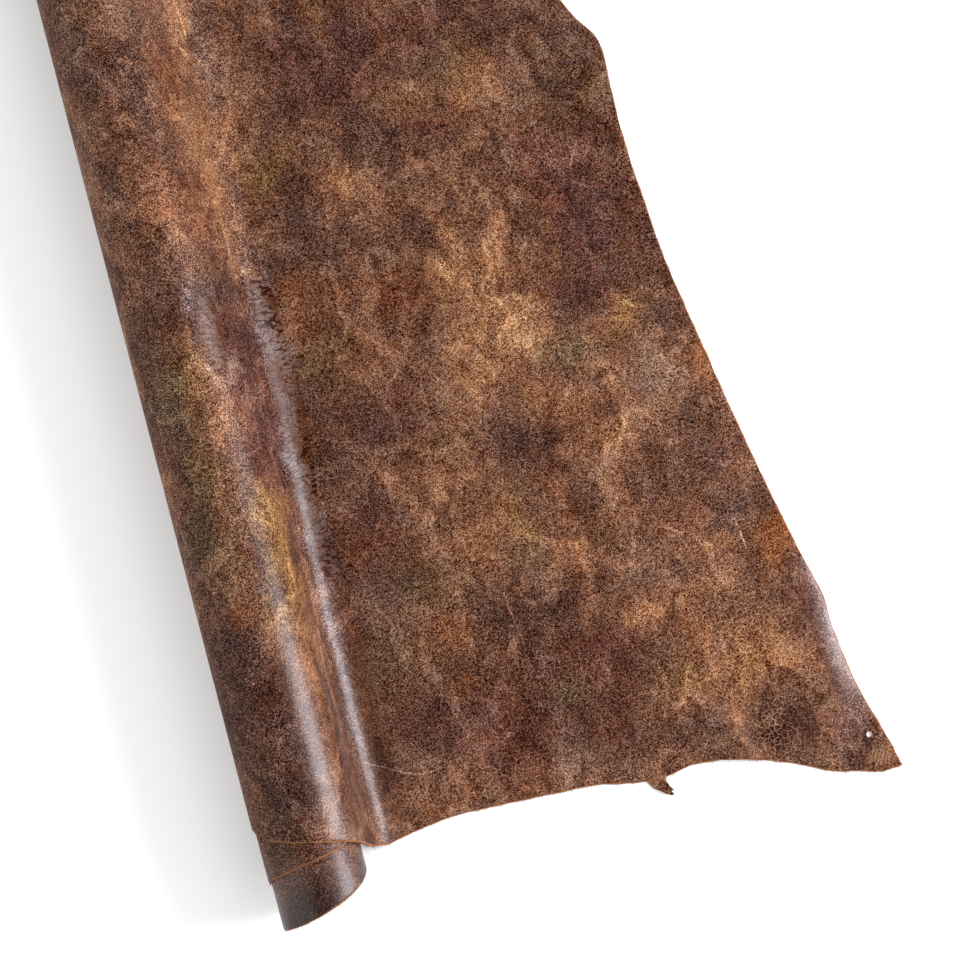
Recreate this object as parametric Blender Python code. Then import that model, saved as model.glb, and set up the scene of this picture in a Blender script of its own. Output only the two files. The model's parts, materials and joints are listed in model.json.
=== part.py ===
"""Double leather shoulder: one sheet, its left part wound into a roll and the rest lying flat.

The sheet is drawn as a flat pattern and then laid. In the pattern, `across` is measured from the
roll's axis towards the flat side, and `along` runs from the rear margin (-) to the neck (+). Where the
sheet lies flat, `across` is also the distance on the surface. Further left it climbs a bend and a
slope to the roll, goes over its crown and winds inwards. Metres, +Z up, Y along the roll.
"""

from math import cos, pi, radians, sin, sqrt

import bmesh
import bpy
from mathutils import Vector

# Driving dimensions
THICKNESS = 0.0018
ROLL_RADIUS = 0.051  # middle of the leather, at the crown
TURN_STEP = 0.0027  # each turn lies this much inside the last
ROLL_X = -0.2679  # the roll's axis, from the middle of the whole part
SPINE = 0.043  # the animal's spine line, past the crown and down the roll's left side
HOLE_RADIUS = 0.003
HOLE_AT = (0.5626, -0.5254)

# How finely the sheet is divided
TURN_DIVISION = radians(15)
FIRST_DIVISION = radians(-52.5)  # the first fold line on the roll, right of the crown
ROLL_DIVISIONS = 28
INNER_DIVISIONS = 34
SLOPE_DIVISIONS = 14
FLAT_DIVISIONS = 30
ROWS = 36

# How the sheet leaves the roll: along, slope against the surface, radius of the bend at its foot
SLOPE = (
    (-0.60, radians(80), 0.028),
    (-0.28, radians(80), 0.028),
    (-0.14, radians(75), 0.032),
    (0.00, radians(70), 0.036),
    (0.12, radians(68), 0.038),
    (0.24, radians(62), 0.042),
    (0.36, radians(55), 0.050),
    (0.60, radians(52), 0.052),
)

# Rear margin of the pattern: across, along
REAR_MARGIN = (
    (-0.794, -0.5480),
    (-0.765, -0.5560),
    (-0.730, -0.5580),
    (-0.684, -0.5515),
    (-0.632, -0.5355),
    (-0.596, -0.5235),
    (-0.515, -0.5150),
    (-0.441, -0.5095),
    (-0.392, -0.4990),
    (-0.336, -0.4885),
    (-0.230, -0.4640),
    (-0.138, -0.4555),
    (-0.096, -0.4665),
    (-0.027, -0.4840),
    (0.035, -0.5030),
    (0.068, -0.5105),
    (0.083, -0.5085),
    (0.131, -0.5010),
    (0.177, -0.5010),
    (0.239, -0.5035),
    (0.285, -0.5060),
    (0.314, -0.5120),
    (0.340, -0.5160),
    (0.360, -0.5150),
    (0.380, -0.5115),
    (0.407, -0.5120),
    (0.436, -0.5185),
    (0.479, -0.5335),
    (0.520, -0.5525),
    (0.549, -0.5600),
    (0.566, -0.5650),
    (0.587, -0.5637),
)

# Right margin: along, across
RIGHT_MARGIN = (
    (-0.5637, 0.5870),
    (-0.5360, 0.5806),
    (-0.4700, 0.5620),
    (-0.4270, 0.5555),
    (-0.4050, 0.5530),
    (-0.3850, 0.5530),
    (-0.3410, 0.5440),
    (-0.2750, 0.5294),
    (-0.1880, 0.5128),
    (-0.1020, 0.4980),
    (-0.0150, 0.4843),
    (0.0480, 0.4790),
    (0.1110, 0.4750),
    (0.1730, 0.4755),
    (0.1980, 0.4765),
    (0.2180, 0.4735),
    (0.2390, 0.4590),
    (0.2625, 0.4475),
    (0.3700, 0.4020),
    (0.4700, 0.3560),
    (0.5350, 0.3000),
)

# Neck margin: across, along
NECK_MARGIN = (
    (-0.480, 0.535),
    (-0.380, 0.553),
    (-0.260, 0.561),
    (-0.100, 0.564),
    (0.080, 0.561),
    (0.200, 0.553),
    (0.300, 0.535),
)

# Where the flat side lifts off the surface: across, along, reach left, reach right, reach along, height
WAVES = (
    (0.532, -0.425, 0.095, 0.040, 0.120, 0.0095),
    (0.430, -0.560, 0.050, 0.030, 0.150, 0.0060),
    (0.250, -0.560, 0.110, 0.110, 0.090, 0.0040),
    (0.540, -0.060, 0.080, 0.080, 0.190, 0.0040),
    (0.480, 0.300, 0.090, 0.090, 0.110, 0.0050),
)

# Torn tag on the rear margin, its root inside the sheet: across, along
TORN_TAG = (
    (0.3320, -0.5080),
    (0.3370, -0.5180),
    (0.3390, -0.5225),
    (0.3460, -0.5280),
    (0.3550, -0.5345),
    (0.3590, -0.5350),
    (0.3570, -0.5300),
    (0.3605, -0.5310),
    (0.3570, -0.5260),
    (0.3545, -0.5200),
    (0.3560, -0.5080),
)
TAG_THICKNESS = 0.0014
TAG_CURL = 0.003


def through(table, at, column=1):
    """A smooth curve through a table's rows: the value of `column` where the first one is `at`."""
    last = len(table) - 1
    row = max([0] + [i for i in range(last) if table[i][0] <= at])

    def slope(i):
        before, after = max(i - 1, 0), min(i + 1, last)
        rise = table[after][column] - table[before][column]
        return rise / (table[after][0] - table[before][0])

    start, end = table[row], table[row + 1]
    span = end[0] - start[0]
    t = min(max((at - start[0]) / span, 0.0), 1.0)
    held = (1 + 2 * t) * (1 - t) ** 2 * start[column] + t * t * (3 - 2 * t) * end[column]
    turned = t * (1 - t) ** 2 * slope(row) - t * t * (1 - t) * slope(row + 1)
    return held + turned * span


def turn_radius(turned):
    """Radius of the middle of the leather, wound by this angle past the crown."""
    return ROLL_RADIUS - TURN_STEP * turned / (2 * pi)


def wound_length(turned):
    """Length of leather on the roll from the crown to this angle."""
    return ROLL_RADIUS * turned - TURN_STEP * turned**2 / (4 * pi)


def turned_by(length):
    """The angle that this length of leather reaches on the roll, from the crown."""
    return (ROLL_RADIUS - sqrt(ROLL_RADIUS**2 - TURN_STEP * length / pi)) * 2 * pi / TURN_STEP


# The roll's flat spot is one division wide, and lies on the surface
ROLL_HEIGHT = (turn_radius(pi) + THICKNESS / 2) * cos(TURN_DIVISION / 2)


class Section:
    """The laid sheet's line from the roll to the surface, cut square to the roll at one place."""

    def __init__(self, along):
        self.slope = through(SLOPE, along, 1)
        self.bend = through(SLOPE, along, 2)
        radius = turn_radius(-self.slope)
        bend_top = THICKNESS / 2 + self.bend * (1 - cos(self.slope))
        drop = ROLL_HEIGHT + radius * cos(self.slope) - bend_top
        straight = drop / sin(self.slope)
        reach = radius * sin(self.slope) + straight * cos(self.slope)
        self.foot = reach + self.bend * sin(self.slope)
        self.bend_start = self.foot - self.bend * self.slope
        self.slope_start = self.bend_start - straight
        self.crown = self.slope_start + wound_length(-self.slope)

    def lay(self, across):
        """(distance from the roll's axis, height, tilt to the right) of the middle of the leather."""
        if across >= self.foot:
            return across, THICKNESS / 2, 0.0
        if across >= self.bend_start:
            tilt = (self.foot - across) / self.bend
            x = self.foot - self.bend * sin(tilt)
            return x, THICKNESS / 2 + self.bend * (1 - cos(tilt)), tilt
        if across >= self.slope_start:
            up = self.bend_start - across
            x = self.foot - self.bend * sin(self.slope) - up * cos(self.slope)
            bend_top = THICKNESS / 2 + self.bend * (1 - cos(self.slope))
            return x, bend_top + up * sin(self.slope), self.slope
        turned = turned_by(self.crown - across)
        radius = turn_radius(turned)
        return -radius * sin(turned), ROLL_HEIGHT + radius * cos(turned), -turned


def lift(across, along):
    """How far the flat side stands off the surface here."""
    height = 0.0
    for at_across, at_along, left, right, reach_along, top in WAVES:
        reach_across = right if across > at_across else left
        far = ((across - at_across) / reach_across) ** 2 + ((along - at_along) / reach_along) ** 2
        height += top * max(1 - far, 0.0) ** 2
    return height


def faces_at(across, along):
    """The grain side's and the flesh side's points at a place on the pattern."""
    section = Section(along)
    x, z, tilt = section.lay(across)
    if across > section.foot:
        z += lift(across, along)
    middle = Vector((ROLL_X + x, along, z))
    half = Vector((sin(tilt), 0, cos(tilt))) * THICKNESS / 2
    grain, flesh = middle + half, middle - half
    grain.z = max(grain.z, 0.0)
    return grain, flesh


def patch(left, right, top, bottom, columns, rows):
    """Points between four edges, each a function of a fraction: columns of rows, top to bottom."""
    corners = top(0), top(1), bottom(0), bottom(1)

    def between(s, t):
        sides = left(t) * (1 - s) + right(t) * s + top(s) * (1 - t) + bottom(s) * t
        upper = corners[0] * (1 - s) + corners[1] * s
        lower = corners[2] * (1 - s) + corners[3] * s
        return sides - upper * (1 - t) - lower * t

    return [[between(s / columns, t / rows) for t in range(rows + 1)] for s in range(columns + 1)]


def neck_point(across):
    return Vector((across, through(NECK_MARGIN, across)))


def rear_point(across):
    return Vector((across, through(REAR_MARGIN, across)))


def fold_line(place):
    """The line across = place(section), from the neck margin to the rear one."""
    neck = neck_point(place(Section(NECK_MARGIN[-1][1])))
    rear = rear_point(place(Section(REAR_MARGIN[-1][1])))

    def at(t):
        along = neck.y + (rear.y - neck.y) * t
        return Vector((place(Section(along)), along))

    return at


def right_margin(t):
    neck, rear = RIGHT_MARGIN[-1][0], REAR_MARGIN[-1][1]
    along = neck + (rear - neck) * t
    return Vector((through(RIGHT_MARGIN, along), along))


def inner_margin(t):
    """The wound end: the right margin mirrored about the spine."""
    neck, rear = RIGHT_MARGIN[-1][0], REAR_MARGIN[0][1]
    along = neck + (rear - neck) * t
    spine = Section(along).crown - SPINE
    return Vector((2 * spine - through(RIGHT_MARGIN, along), along))


def margin_between(margin, start, end):
    return lambda s: margin(start + (end - start) * s)


def zone(left, right, columns):
    """Pattern points between two lines that run from the neck margin to the rear margin."""
    top = margin_between(neck_point, left(0).x, right(0).x)
    bottom = margin_between(rear_point, left(1).x, right(1).x)
    return patch(left, right, top, bottom, columns, ROWS)


def pattern():
    """The whole flat pattern as columns of points, from the wound end to the right margin."""

    def roll_line(division):
        turned = FIRST_DIVISION + division * TURN_DIVISION
        return fold_line(lambda section: section.crown - wound_length(turned))

    foot = fold_line(lambda section: section.foot)
    lines = [inner_margin] + [roll_line(i) for i in range(ROLL_DIVISIONS, -1, -1)]
    lines += [foot, right_margin]
    divisions = [INNER_DIVISIONS] + [1] * ROLL_DIVISIONS + [SLOPE_DIVISIONS, FLAT_DIVISIONS]
    columns = []
    for left, right, count in zip(lines, lines[1:], divisions):
        columns = columns[:-1] + zone(left, right, count)
    return columns


def sheet_mesh(columns):
    """A closed mesh of the laid sheet: grain side, flesh side and the cut edge all round."""
    width, length = len(columns), len(columns[0])
    laid = [[faces_at(*point) for point in column] for column in columns]
    points = [laid[i][j][side] for side in (0, 1) for i in range(width) for j in range(length)]

    def index(i, j, side):
        return side * width * length + i * length + j

    faces = []
    for i in range(width - 1):
        for j in range(length - 1):
            corners = (i, j), (i, j + 1), (i + 1, j + 1), (i + 1, j)
            faces.append([index(*corner, 0) for corner in corners])
            faces.append([index(*corner, 1) for corner in reversed(corners)])
    down = [(0, j) for j in range(length)]
    right = [(i, length - 1) for i in range(1, width)]
    up = [(width - 1, j) for j in range(length - 2, -1, -1)]
    back = [(i, 0) for i in range(width - 2, -1, -1)]
    rim = down + right + up + back
    for a, b in zip(rim, rim[1:]):
        faces.append([index(*b, 0), index(*a, 0), index(*a, 1), index(*b, 1)])
    mesh = bpy.data.meshes.new("leather")
    mesh.from_pydata(points, [], faces)
    return mesh


def leather_material():
    material = bpy.data.materials.new("brown crackled leather")
    material.use_nodes = True
    shader = material.node_tree.nodes["Principled BSDF"]
    shader.inputs["Base Color"].default_value = (0.115, 0.045, 0.022, 1)
    shader.inputs["Roughness"].default_value = 0.45
    shader.inputs["Metallic"].default_value = 0
    return material


def add(name, mesh):
    thing = bpy.data.objects.new(name, mesh)
    bpy.context.scene.collection.objects.link(thing)
    return thing


def make_guide(thing):
    """Keeps a piece out of the finished part: it only joins or cuts."""
    thing.hide_render = True
    thing.display_type = "WIRE"
    return thing


def torn_tag():
    """The torn strip, thinner than the sheet and curling up towards its forked end."""
    root = TORN_TAG[0][1]
    far = min(along for _, along in TORN_TAG)
    bm = bmesh.new()
    rings = []
    for side in (-1, 1):
        ring = []
        for across, along in TORN_TAG:
            curl = TAG_CURL * ((along - root) / (far - root)) ** 2
            height = THICKNESS / 2 + side * TAG_THICKNESS / 2 + curl
            ring.append(bm.verts.new((ROLL_X + across, along, height)))
        rings.append(ring)
    lower, upper = rings
    bmesh.ops.triangulate(bm, faces=[bm.faces.new(upper), bm.faces.new(reversed(lower))])
    for k in range(len(TORN_TAG)):
        n = (k + 1) % len(TORN_TAG)
        bm.faces.new((upper[k], lower[k], lower[n], upper[n]))
    bmesh.ops.recalc_face_normals(bm, faces=bm.faces)
    mesh = bpy.data.meshes.new("torn tag")
    bm.to_mesh(mesh)
    bm.free()
    return make_guide(add("torn_tag", mesh))


def hole_punch():
    """The round cutter of the hanging hole."""
    bm = bmesh.new()
    bmesh.ops.create_cone(
        bm,
        cap_ends=True,
        segments=12,
        radius1=HOLE_RADIUS,
        radius2=HOLE_RADIUS,
        depth=0.05,
    )
    mesh = bpy.data.meshes.new("hole punch")
    bm.to_mesh(mesh)
    bm.free()
    punch = make_guide(add("hole_punch", mesh))
    punch.location = (ROLL_X + HOLE_AT[0], HOLE_AT[1], 0)
    return punch


def join_or_cut(thing, other, operation):
    change = thing.modifiers.new(other.name, "BOOLEAN")
    change.operation = operation
    change.object = other
    change.solver = "EXACT"


def main():
    for thing in list(bpy.data.objects):
        bpy.data.objects.remove(thing)
    leather = add("leather", sheet_mesh(pattern()))
    leather.data.materials.append(leather_material())
    join_or_cut(leather, torn_tag(), "UNION")
    join_or_cut(leather, hole_punch(), "DIFFERENCE")


main()
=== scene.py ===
# %% [markdown]
# # A double leather shoulder, partly rolled
#
# A double shoulder is the whole front of a cow hide, both sides of the neck and shoulders in one
# piece. It is sold rolled. Here the left part is still wound up and the right part lies flat, so we
# see a roll, a steep bend beside it, and a broad flat sheet with torn and cut margins.
#
# The whole thing is one sheet of leather, so almost everything below is about one surface: how it is
# drawn flat, how it is laid, how its grain looks, and how its edges look. Lengths are in metres.

# %% The frame, and an empty scene
import json
from math import cos, pi, radians, sin

import bpy
import numpy as np
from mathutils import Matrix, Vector, noise
from mathutils.geometry import tessellate_polygon
from mathutils.kdtree import KDTree

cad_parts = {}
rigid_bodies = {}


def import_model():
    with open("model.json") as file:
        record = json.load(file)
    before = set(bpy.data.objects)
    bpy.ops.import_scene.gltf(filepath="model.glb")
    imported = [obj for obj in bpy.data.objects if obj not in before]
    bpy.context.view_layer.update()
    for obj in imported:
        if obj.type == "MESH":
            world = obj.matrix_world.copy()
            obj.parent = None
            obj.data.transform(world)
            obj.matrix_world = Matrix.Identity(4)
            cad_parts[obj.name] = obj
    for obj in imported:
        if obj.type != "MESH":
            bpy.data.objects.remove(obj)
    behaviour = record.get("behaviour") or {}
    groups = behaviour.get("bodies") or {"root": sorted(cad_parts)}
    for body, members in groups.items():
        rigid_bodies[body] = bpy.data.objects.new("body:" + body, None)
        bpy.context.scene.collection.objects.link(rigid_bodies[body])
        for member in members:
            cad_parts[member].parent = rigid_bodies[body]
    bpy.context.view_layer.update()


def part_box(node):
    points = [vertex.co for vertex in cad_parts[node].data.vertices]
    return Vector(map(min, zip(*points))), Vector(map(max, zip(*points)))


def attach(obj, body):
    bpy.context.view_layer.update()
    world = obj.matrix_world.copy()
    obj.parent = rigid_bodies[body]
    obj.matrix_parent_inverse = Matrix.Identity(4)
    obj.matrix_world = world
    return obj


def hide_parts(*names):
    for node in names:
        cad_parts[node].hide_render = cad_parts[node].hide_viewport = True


for thing in list(bpy.data.objects):
    bpy.data.objects.remove(thing)
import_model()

# %% [markdown]
# ## Where we stand
#
# The hide is seen from straight above, turned a little, with the roll on the left. The view ends
# short of the neck, so both the hide and the roll run out of it at the top. A long lens more than two
# metres up keeps the perspective weak, so the roll's side hardly shows.

# %% The camera
EYE_HEIGHT = 2.2
EYE_AT = (-0.0180, -0.18175)
EYE_TURN = radians(-14.56)
VIEW_WIDTH = 0.96  # how much of the floor the view spans

camera = bpy.data.objects.new("camera", bpy.data.cameras.new("camera"))
bpy.context.collection.objects.link(camera)
camera.location = (*EYE_AT, EYE_HEIGHT)
camera.rotation_euler = (0, 0, EYE_TURN)
camera.data.lens = camera.data.sensor_width * EYE_HEIGHT / VIEW_WIDTH
bpy.context.scene.camera = camera
print("lens", round(camera.data.lens, 1), "mm")

# %% [markdown]
# ## Nodes, written as sums
#
# A material is a graph of nodes, and so are the sky and a Geometry Nodes tree. A graph is hard to read
# as code when every node and link has its own line. So a small class wraps a socket, and adding or
# multiplying two of them adds the Math node. `Graph.node` makes any other node: its settings are set
# first, then its inputs get values or links.


# %% A socket that can be added and multiplied
class Sum:
    """What a node gives out, ready for arithmetic."""

    def __init__(self, graph, socket):
        self.graph, self.socket = graph, socket

    def math(self, operation, *others):
        inputs = dict(enumerate((self, *others)))
        return self.graph.node("ShaderNodeMath", {"operation": operation}, inputs)["Value"]

    def __add__(self, other):
        return self.math("ADD", other)

    def __mul__(self, other):
        return self.math("MULTIPLY", other)

    def __sub__(self, other):
        return self.math("SUBTRACT", other)

    def __rsub__(self, other):
        return self * -1.0 + other

    __radd__, __rmul__ = __add__, __mul__

    def between(self, low, high):
        """0 below low, 1 above high, and a smooth rise from one to the other."""
        settings = {"interpolation_type": "SMOOTHSTEP"}
        inputs = {"Value": self, "From Min": low, "From Max": high}
        return self.graph.node("ShaderNodeMapRange", settings, inputs)["Result"]


# %% A graph under construction
class Graph:
    """A node tree, its nodes made by one method."""

    def __init__(self, tree):
        self.tree = tree

    def put(self, node, key, value):
        if isinstance(value, Sum):
            self.tree.links.new(value.socket, node.inputs[key])
        else:
            node.inputs[key].default_value = value

    def node(self, kind, settings=None, inputs=None):
        """Adds a node and returns its outputs by name, each ready for arithmetic."""
        node = self.tree.nodes.new(kind)
        for key, value in (settings or {}).items():
            setattr(node, key, value)
        for key, value in (inputs or {}).items():
            self.put(node, key, value)
        return {out.name: Sum(self, out) for out in node.outputs if out.enabled}

    def vector(self, operation, first, second=(0, 0, 0), third=(0, 0, 0), **named):
        inputs = {0: first, 1: second, 2: third, **named}
        return self.node("ShaderNodeVectorMath", {"operation": operation}, inputs)["Vector"]


# %% A material under construction
class Shader(Graph):
    """A new material, and the few textures that more than one finish needs."""

    def __init__(self, name):
        self.material = bpy.data.materials.new(name)
        self.material.use_nodes = True
        super().__init__(self.material.node_tree)
        self.principled = self.tree.nodes["Principled BSDF"]

    def attribute(self, name):
        return self.node("ShaderNodeAttribute", {"attribute_name": name})

    def cloud(self, scale, detail):
        """A soft noise in the piece's own space, with `scale` lumps to a metre."""
        place = self.node("ShaderNodeTexCoord")["Object"]
        inputs = {"Vector": place, "Scale": scale, "Detail": detail}
        return self.node("ShaderNodeTexNoise", None, inputs)["Fac"]

    def mix(self, amount, colour, other):
        """One colour where amount is 0, the other where it is 1."""
        node = self.tree.nodes.new("ShaderNodeMix")
        node.data_type = "RGBA"
        for key, value in ((0, amount), (6, colour), (7, other)):
            self.put(node, key, value)
        return Sum(self, node.outputs[2])

    def bump(self, height, strength, distance):
        """A normal that follows a height, for forms too low for the mesh."""
        inputs = {"Strength": strength, "Distance": distance, "Height": height}
        return self.node("ShaderNodeBump", None, inputs)["Normal"]

    def finish(self, **sockets):
        """Sets the Principled BSDF's sockets, their names written with underscores."""
        for key, value in sockets.items():
            self.put(self.principled, key.replace("_", " "), value)
        return self.material


# %% [markdown]
# ## Light and floor
#
# The hide lies on a pure white floor, with one soft shadow to the left of the roll. So most light
# comes from all around, and one large soft box on the right gives the gloss along the roll and along
# the bend. The sky is dimmer straight overhead, as it is under a studio ceiling: leather reflects
# what is above it, and a bright ceiling would turn its dark pits grey.

# %% The sky
SKY_SIDE = 1.50
SKY_TOP = 0.03
CEILING = (0.78, 0.96)  # the sine of the angle where the sky starts to dim, and where it is dimmest

bpy.context.scene.world = bpy.data.worlds.new("studio")
bpy.context.scene.world.use_nodes = True
sky = Graph(bpy.context.scene.world.node_tree)
up = sky.node("ShaderNodeSeparateXYZ", None, {0: sky.node("ShaderNodeTexCoord")["Generated"]})["Z"]
dimming = {"Value": up, "From Min": CEILING[0], "From Max": CEILING[1], "To Min": SKY_SIDE, "To Max": SKY_TOP}
glow = sky.node("ShaderNodeMapRange", {"interpolation_type": "SMOOTHSTEP"}, dimming)["Result"]
sky.put(sky.tree.nodes["Background"], "Strength", glow)
sky.put(sky.tree.nodes["Background"], "Color", (1, 1, 1, 1))
bpy.context.scene.view_settings.view_transform = "Standard"
print("sky from", SKY_SIDE, "at the sides to", SKY_TOP, "overhead")

# %% The soft box
BOX_SIZE = (1.3, 1.4)  # along the roll, upwards
BOX_AT = (2.0, -0.46, 0.95)
BOX_AIM = (-0.25, -0.2, 0.1)
BOX_POWER = 90.0
BOX_COLOUR = (0.95, 0.94, 1.0)

box = bpy.data.objects.new("soft box", bpy.data.lights.new("soft box", "AREA"))
bpy.context.collection.objects.link(box)
box.data.shape = "RECTANGLE"
box.data.size, box.data.size_y = BOX_SIZE
box.data.energy = BOX_POWER
box.data.color = BOX_COLOUR
box.location = BOX_AT
box.rotation_euler = (Vector(BOX_AIM) - Vector(BOX_AT)).to_track_quat("-Z", "Y").to_euler()
print("soft box of", BOX_POWER, "W")

# %% The floor
FLOOR_SIZE = 12

paint = Shader("white floor")
paint.finish(Base_Color=(0.9, 0.9, 0.9, 1), Roughness=1.0, Specular_IOR_Level=0.0)
bpy.ops.mesh.primitive_plane_add(size=FLOOR_SIZE)
floor = bpy.context.object
floor.name = "floor"
floor.data.materials.append(paint.material)

# %% [markdown]
# ## The pattern, and how it is laid
#
# The hide is drawn flat first. `across` is measured from the roll's axis towards the flat side and
# `along` runs from the rear margin (-) to the neck (+). Where the sheet lies flat, `across` is also
# the place on the floor. Further left the sheet climbs a bend and a steep slope to the roll, goes
# over its crown and winds inwards, each turn a little inside the last.
#
# The same functions can then lay any point of the pattern, and they take whole arrays of points,
# which is what makes a mesh of tens of thousands of vertices quick.

# %% Driving sizes
THICKNESS = 0.0018
ROLL_RADIUS = 0.051  # middle of the leather, at the crown
TURN_STEP = 0.0027  # each turn lies this much inside the last
SPINE = 0.043  # the animal's spine line, past the crown and down the roll's left side
TIP_ACROSS = 0.587  # the tip of the hide, its furthest point to the right
ROLL_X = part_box("leather")[1][0] - TIP_ACROSS
FLAT_SPOT = 0.0004  # how far the roll's own weight flattens it under its axis
ROLL_HEIGHT = ROLL_RADIUS - TURN_STEP / 2 + THICKNESS / 2 - FLAT_SPOT
HOLE_AT = (0.5626, -0.5254)
HOLE_RADIUS = 0.003
TORN_TAG = (  # across, along
    (0.3320, -0.5080),
    (0.3370, -0.5180),
    (0.3390, -0.5225),
    (0.3460, -0.5280),
    (0.3550, -0.5345),
    (0.3590, -0.5350),
    (0.3570, -0.5300),
    (0.3605, -0.5310),
    (0.3570, -0.5260),
    (0.3545, -0.5200),
    (0.3560, -0.5080),
)
TAG_THICKNESS = 0.0014
TAG_CURL = 0.003
TOOTH_MARKS = (0.5690, -0.5495)  # middle of the marks: across, along
print("roll axis at x =", round(ROLL_X, 4))

# %% The margins
REAR_MARGIN = (  # across, along
    (-0.794, -0.5480),
    (-0.765, -0.5560),
    (-0.730, -0.5580),
    (-0.684, -0.5515),
    (-0.632, -0.5355),
    (-0.596, -0.5235),
    (-0.515, -0.5150),
    (-0.441, -0.5095),
    (-0.392, -0.4990),
    (-0.336, -0.4885),
    (-0.230, -0.4640),
    (-0.138, -0.4555),
    (-0.096, -0.4665),
    (-0.027, -0.4840),
    (0.035, -0.5030),
    (0.068, -0.5105),
    (0.083, -0.5085),
    (0.131, -0.5010),
    (0.177, -0.5010),
    (0.239, -0.5035),
    (0.285, -0.5060),
    (0.314, -0.5120),
    (0.340, -0.5160),
    (0.360, -0.5150),
    (0.380, -0.5115),
    (0.407, -0.5120),
    (0.436, -0.5185),
    (0.479, -0.5335),
    (0.520, -0.5525),
    (0.549, -0.5600),
    (0.566, -0.5650),
    (0.587, -0.5637),
)
RIGHT_MARGIN = (  # along, across
    (-0.5637, 0.5870),
    (-0.5360, 0.5806),
    (-0.4700, 0.5620),
    (-0.4270, 0.5555),
    (-0.4050, 0.5530),
    (-0.3850, 0.5530),
    (-0.3410, 0.5440),
    (-0.2750, 0.5294),
    (-0.1880, 0.5128),
    (-0.1020, 0.4980),
    (-0.0150, 0.4843),
    (0.0480, 0.4790),
    (0.1110, 0.4750),
    (0.1730, 0.4755),
    (0.1980, 0.4765),
    (0.2180, 0.4735),
    (0.2390, 0.4590),
    (0.2625, 0.4475),
    (0.3700, 0.4020),
    (0.4700, 0.3560),
    (0.5350, 0.3000),
)
NECK_MARGIN = (  # across, along
    (-0.480, 0.535),
    (-0.380, 0.553),
    (-0.260, 0.561),
    (-0.100, 0.564),
    (0.080, 0.561),
    (0.200, 0.553),
    (0.300, 0.535),
)
SLOPE = (  # along, slope beside the roll, radius of the bend at its foot
    (-0.60, radians(80), 0.028),
    (-0.28, radians(80), 0.028),
    (-0.14, radians(75), 0.032),
    (0.00, radians(70), 0.036),
    (0.12, radians(68), 0.038),
    (0.24, radians(62), 0.042),
    (0.36, radians(55), 0.050),
    (0.60, radians(52), 0.052),
)
WAVES = (  # across, along, reach left, reach right, reach along, height
    (0.532, -0.425, 0.095, 0.040, 0.120, 0.0095),
    (0.430, -0.560, 0.050, 0.030, 0.150, 0.0060),
    (0.250, -0.560, 0.110, 0.110, 0.090, 0.0040),
    (0.540, -0.060, 0.080, 0.080, 0.190, 0.0040),
    (0.480, 0.300, 0.090, 0.090, 0.110, 0.0050),
)


# %% A smooth curve through a table
def through(table, at, column=1):
    """The value of `column` where the first column is `at`, on a curve through all the rows."""
    rows = np.array(table)
    x, y = rows[:, 0], rows[:, column]
    places = np.arange(len(x))
    before, after = np.maximum(places - 1, 0), np.minimum(places + 1, len(x) - 1)
    slope = (y[after] - y[before]) / (x[after] - x[before])
    i = np.clip(np.searchsorted(x, at, side="right") - 1, 0, len(x) - 2)
    span = x[i + 1] - x[i]
    t = np.clip((at - x[i]) / span, 0, 1)
    held = (1 + 2 * t) * (1 - t) ** 2 * y[i] + t * t * (3 - 2 * t) * y[i + 1]
    return held + (t * (1 - t) ** 2 * slope[i] - t * t * (1 - t) * slope[i + 1]) * span


# %% The roll and the way down from it
def turn_radius(turned):
    """Radius of the middle of the leather, wound by this angle past the crown."""
    return ROLL_RADIUS - TURN_STEP * turned / (2 * pi)


def wound_length(turned):
    return ROLL_RADIUS * turned - TURN_STEP * turned**2 / (4 * pi)


def turned_by(length):
    under = np.maximum(ROLL_RADIUS**2 - TURN_STEP * length / pi, 0)
    return (ROLL_RADIUS - np.sqrt(under)) * 2 * pi / TURN_STEP


class Section:
    """The laid sheet's line from the roll to the floor, at one place along the roll or at many."""

    def __init__(self, along):
        self.slope, self.bend = through(SLOPE, along, 1), through(SLOPE, along, 2)
        radius = turn_radius(-self.slope)
        self.bend_top = THICKNESS / 2 + self.bend * (1 - np.cos(self.slope))
        drop = ROLL_HEIGHT + radius * np.cos(self.slope) - self.bend_top
        straight = drop / np.sin(self.slope)
        reach = radius * np.sin(self.slope) + straight * np.cos(self.slope)
        self.foot = reach + self.bend * np.sin(self.slope)
        self.bend_start = self.foot - self.bend * self.slope
        self.slope_start = self.bend_start - straight
        self.crown = self.slope_start + wound_length(-self.slope)

    def lay(self, across):
        """(distance from the roll's axis, height, tilt to the right) of the middle of the leather."""
        on_bend = (self.foot - across) / self.bend
        up = self.bend_start - across
        turned = turned_by(self.crown - across)
        radius = turn_radius(turned)
        where = [across >= self.foot, across >= self.bend_start, across >= self.slope_start]
        x = np.select(
            where,
            [
                across,
                self.foot - self.bend * np.sin(on_bend),
                self.foot - self.bend * np.sin(self.slope) - up * np.cos(self.slope),
            ],
            -radius * np.sin(turned),
        )
        z = np.select(
            where,
            [
                THICKNESS / 2 + 0 * across,
                THICKNESS / 2 + self.bend * (1 - np.cos(on_bend)),
                self.bend_top + up * np.sin(self.slope),
            ],
            ROLL_HEIGHT + radius * np.cos(turned),
        )
        tilt = np.select(where, [0 * across, on_bend, self.slope + 0 * across], -turned)
        return x, z, tilt


def lift(across, along):
    """How far the flat side stands off the floor here."""
    height = 0.0 * across
    for at_across, at_along, left, right, reach_along, top in WAVES:
        reach_across = np.where(across > at_across, right, left)
        far = ((across - at_across) / reach_across) ** 2 + ((along - at_along) / reach_along) ** 2
        height += top * np.maximum(1 - far, 0) ** 2
    return height


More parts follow.
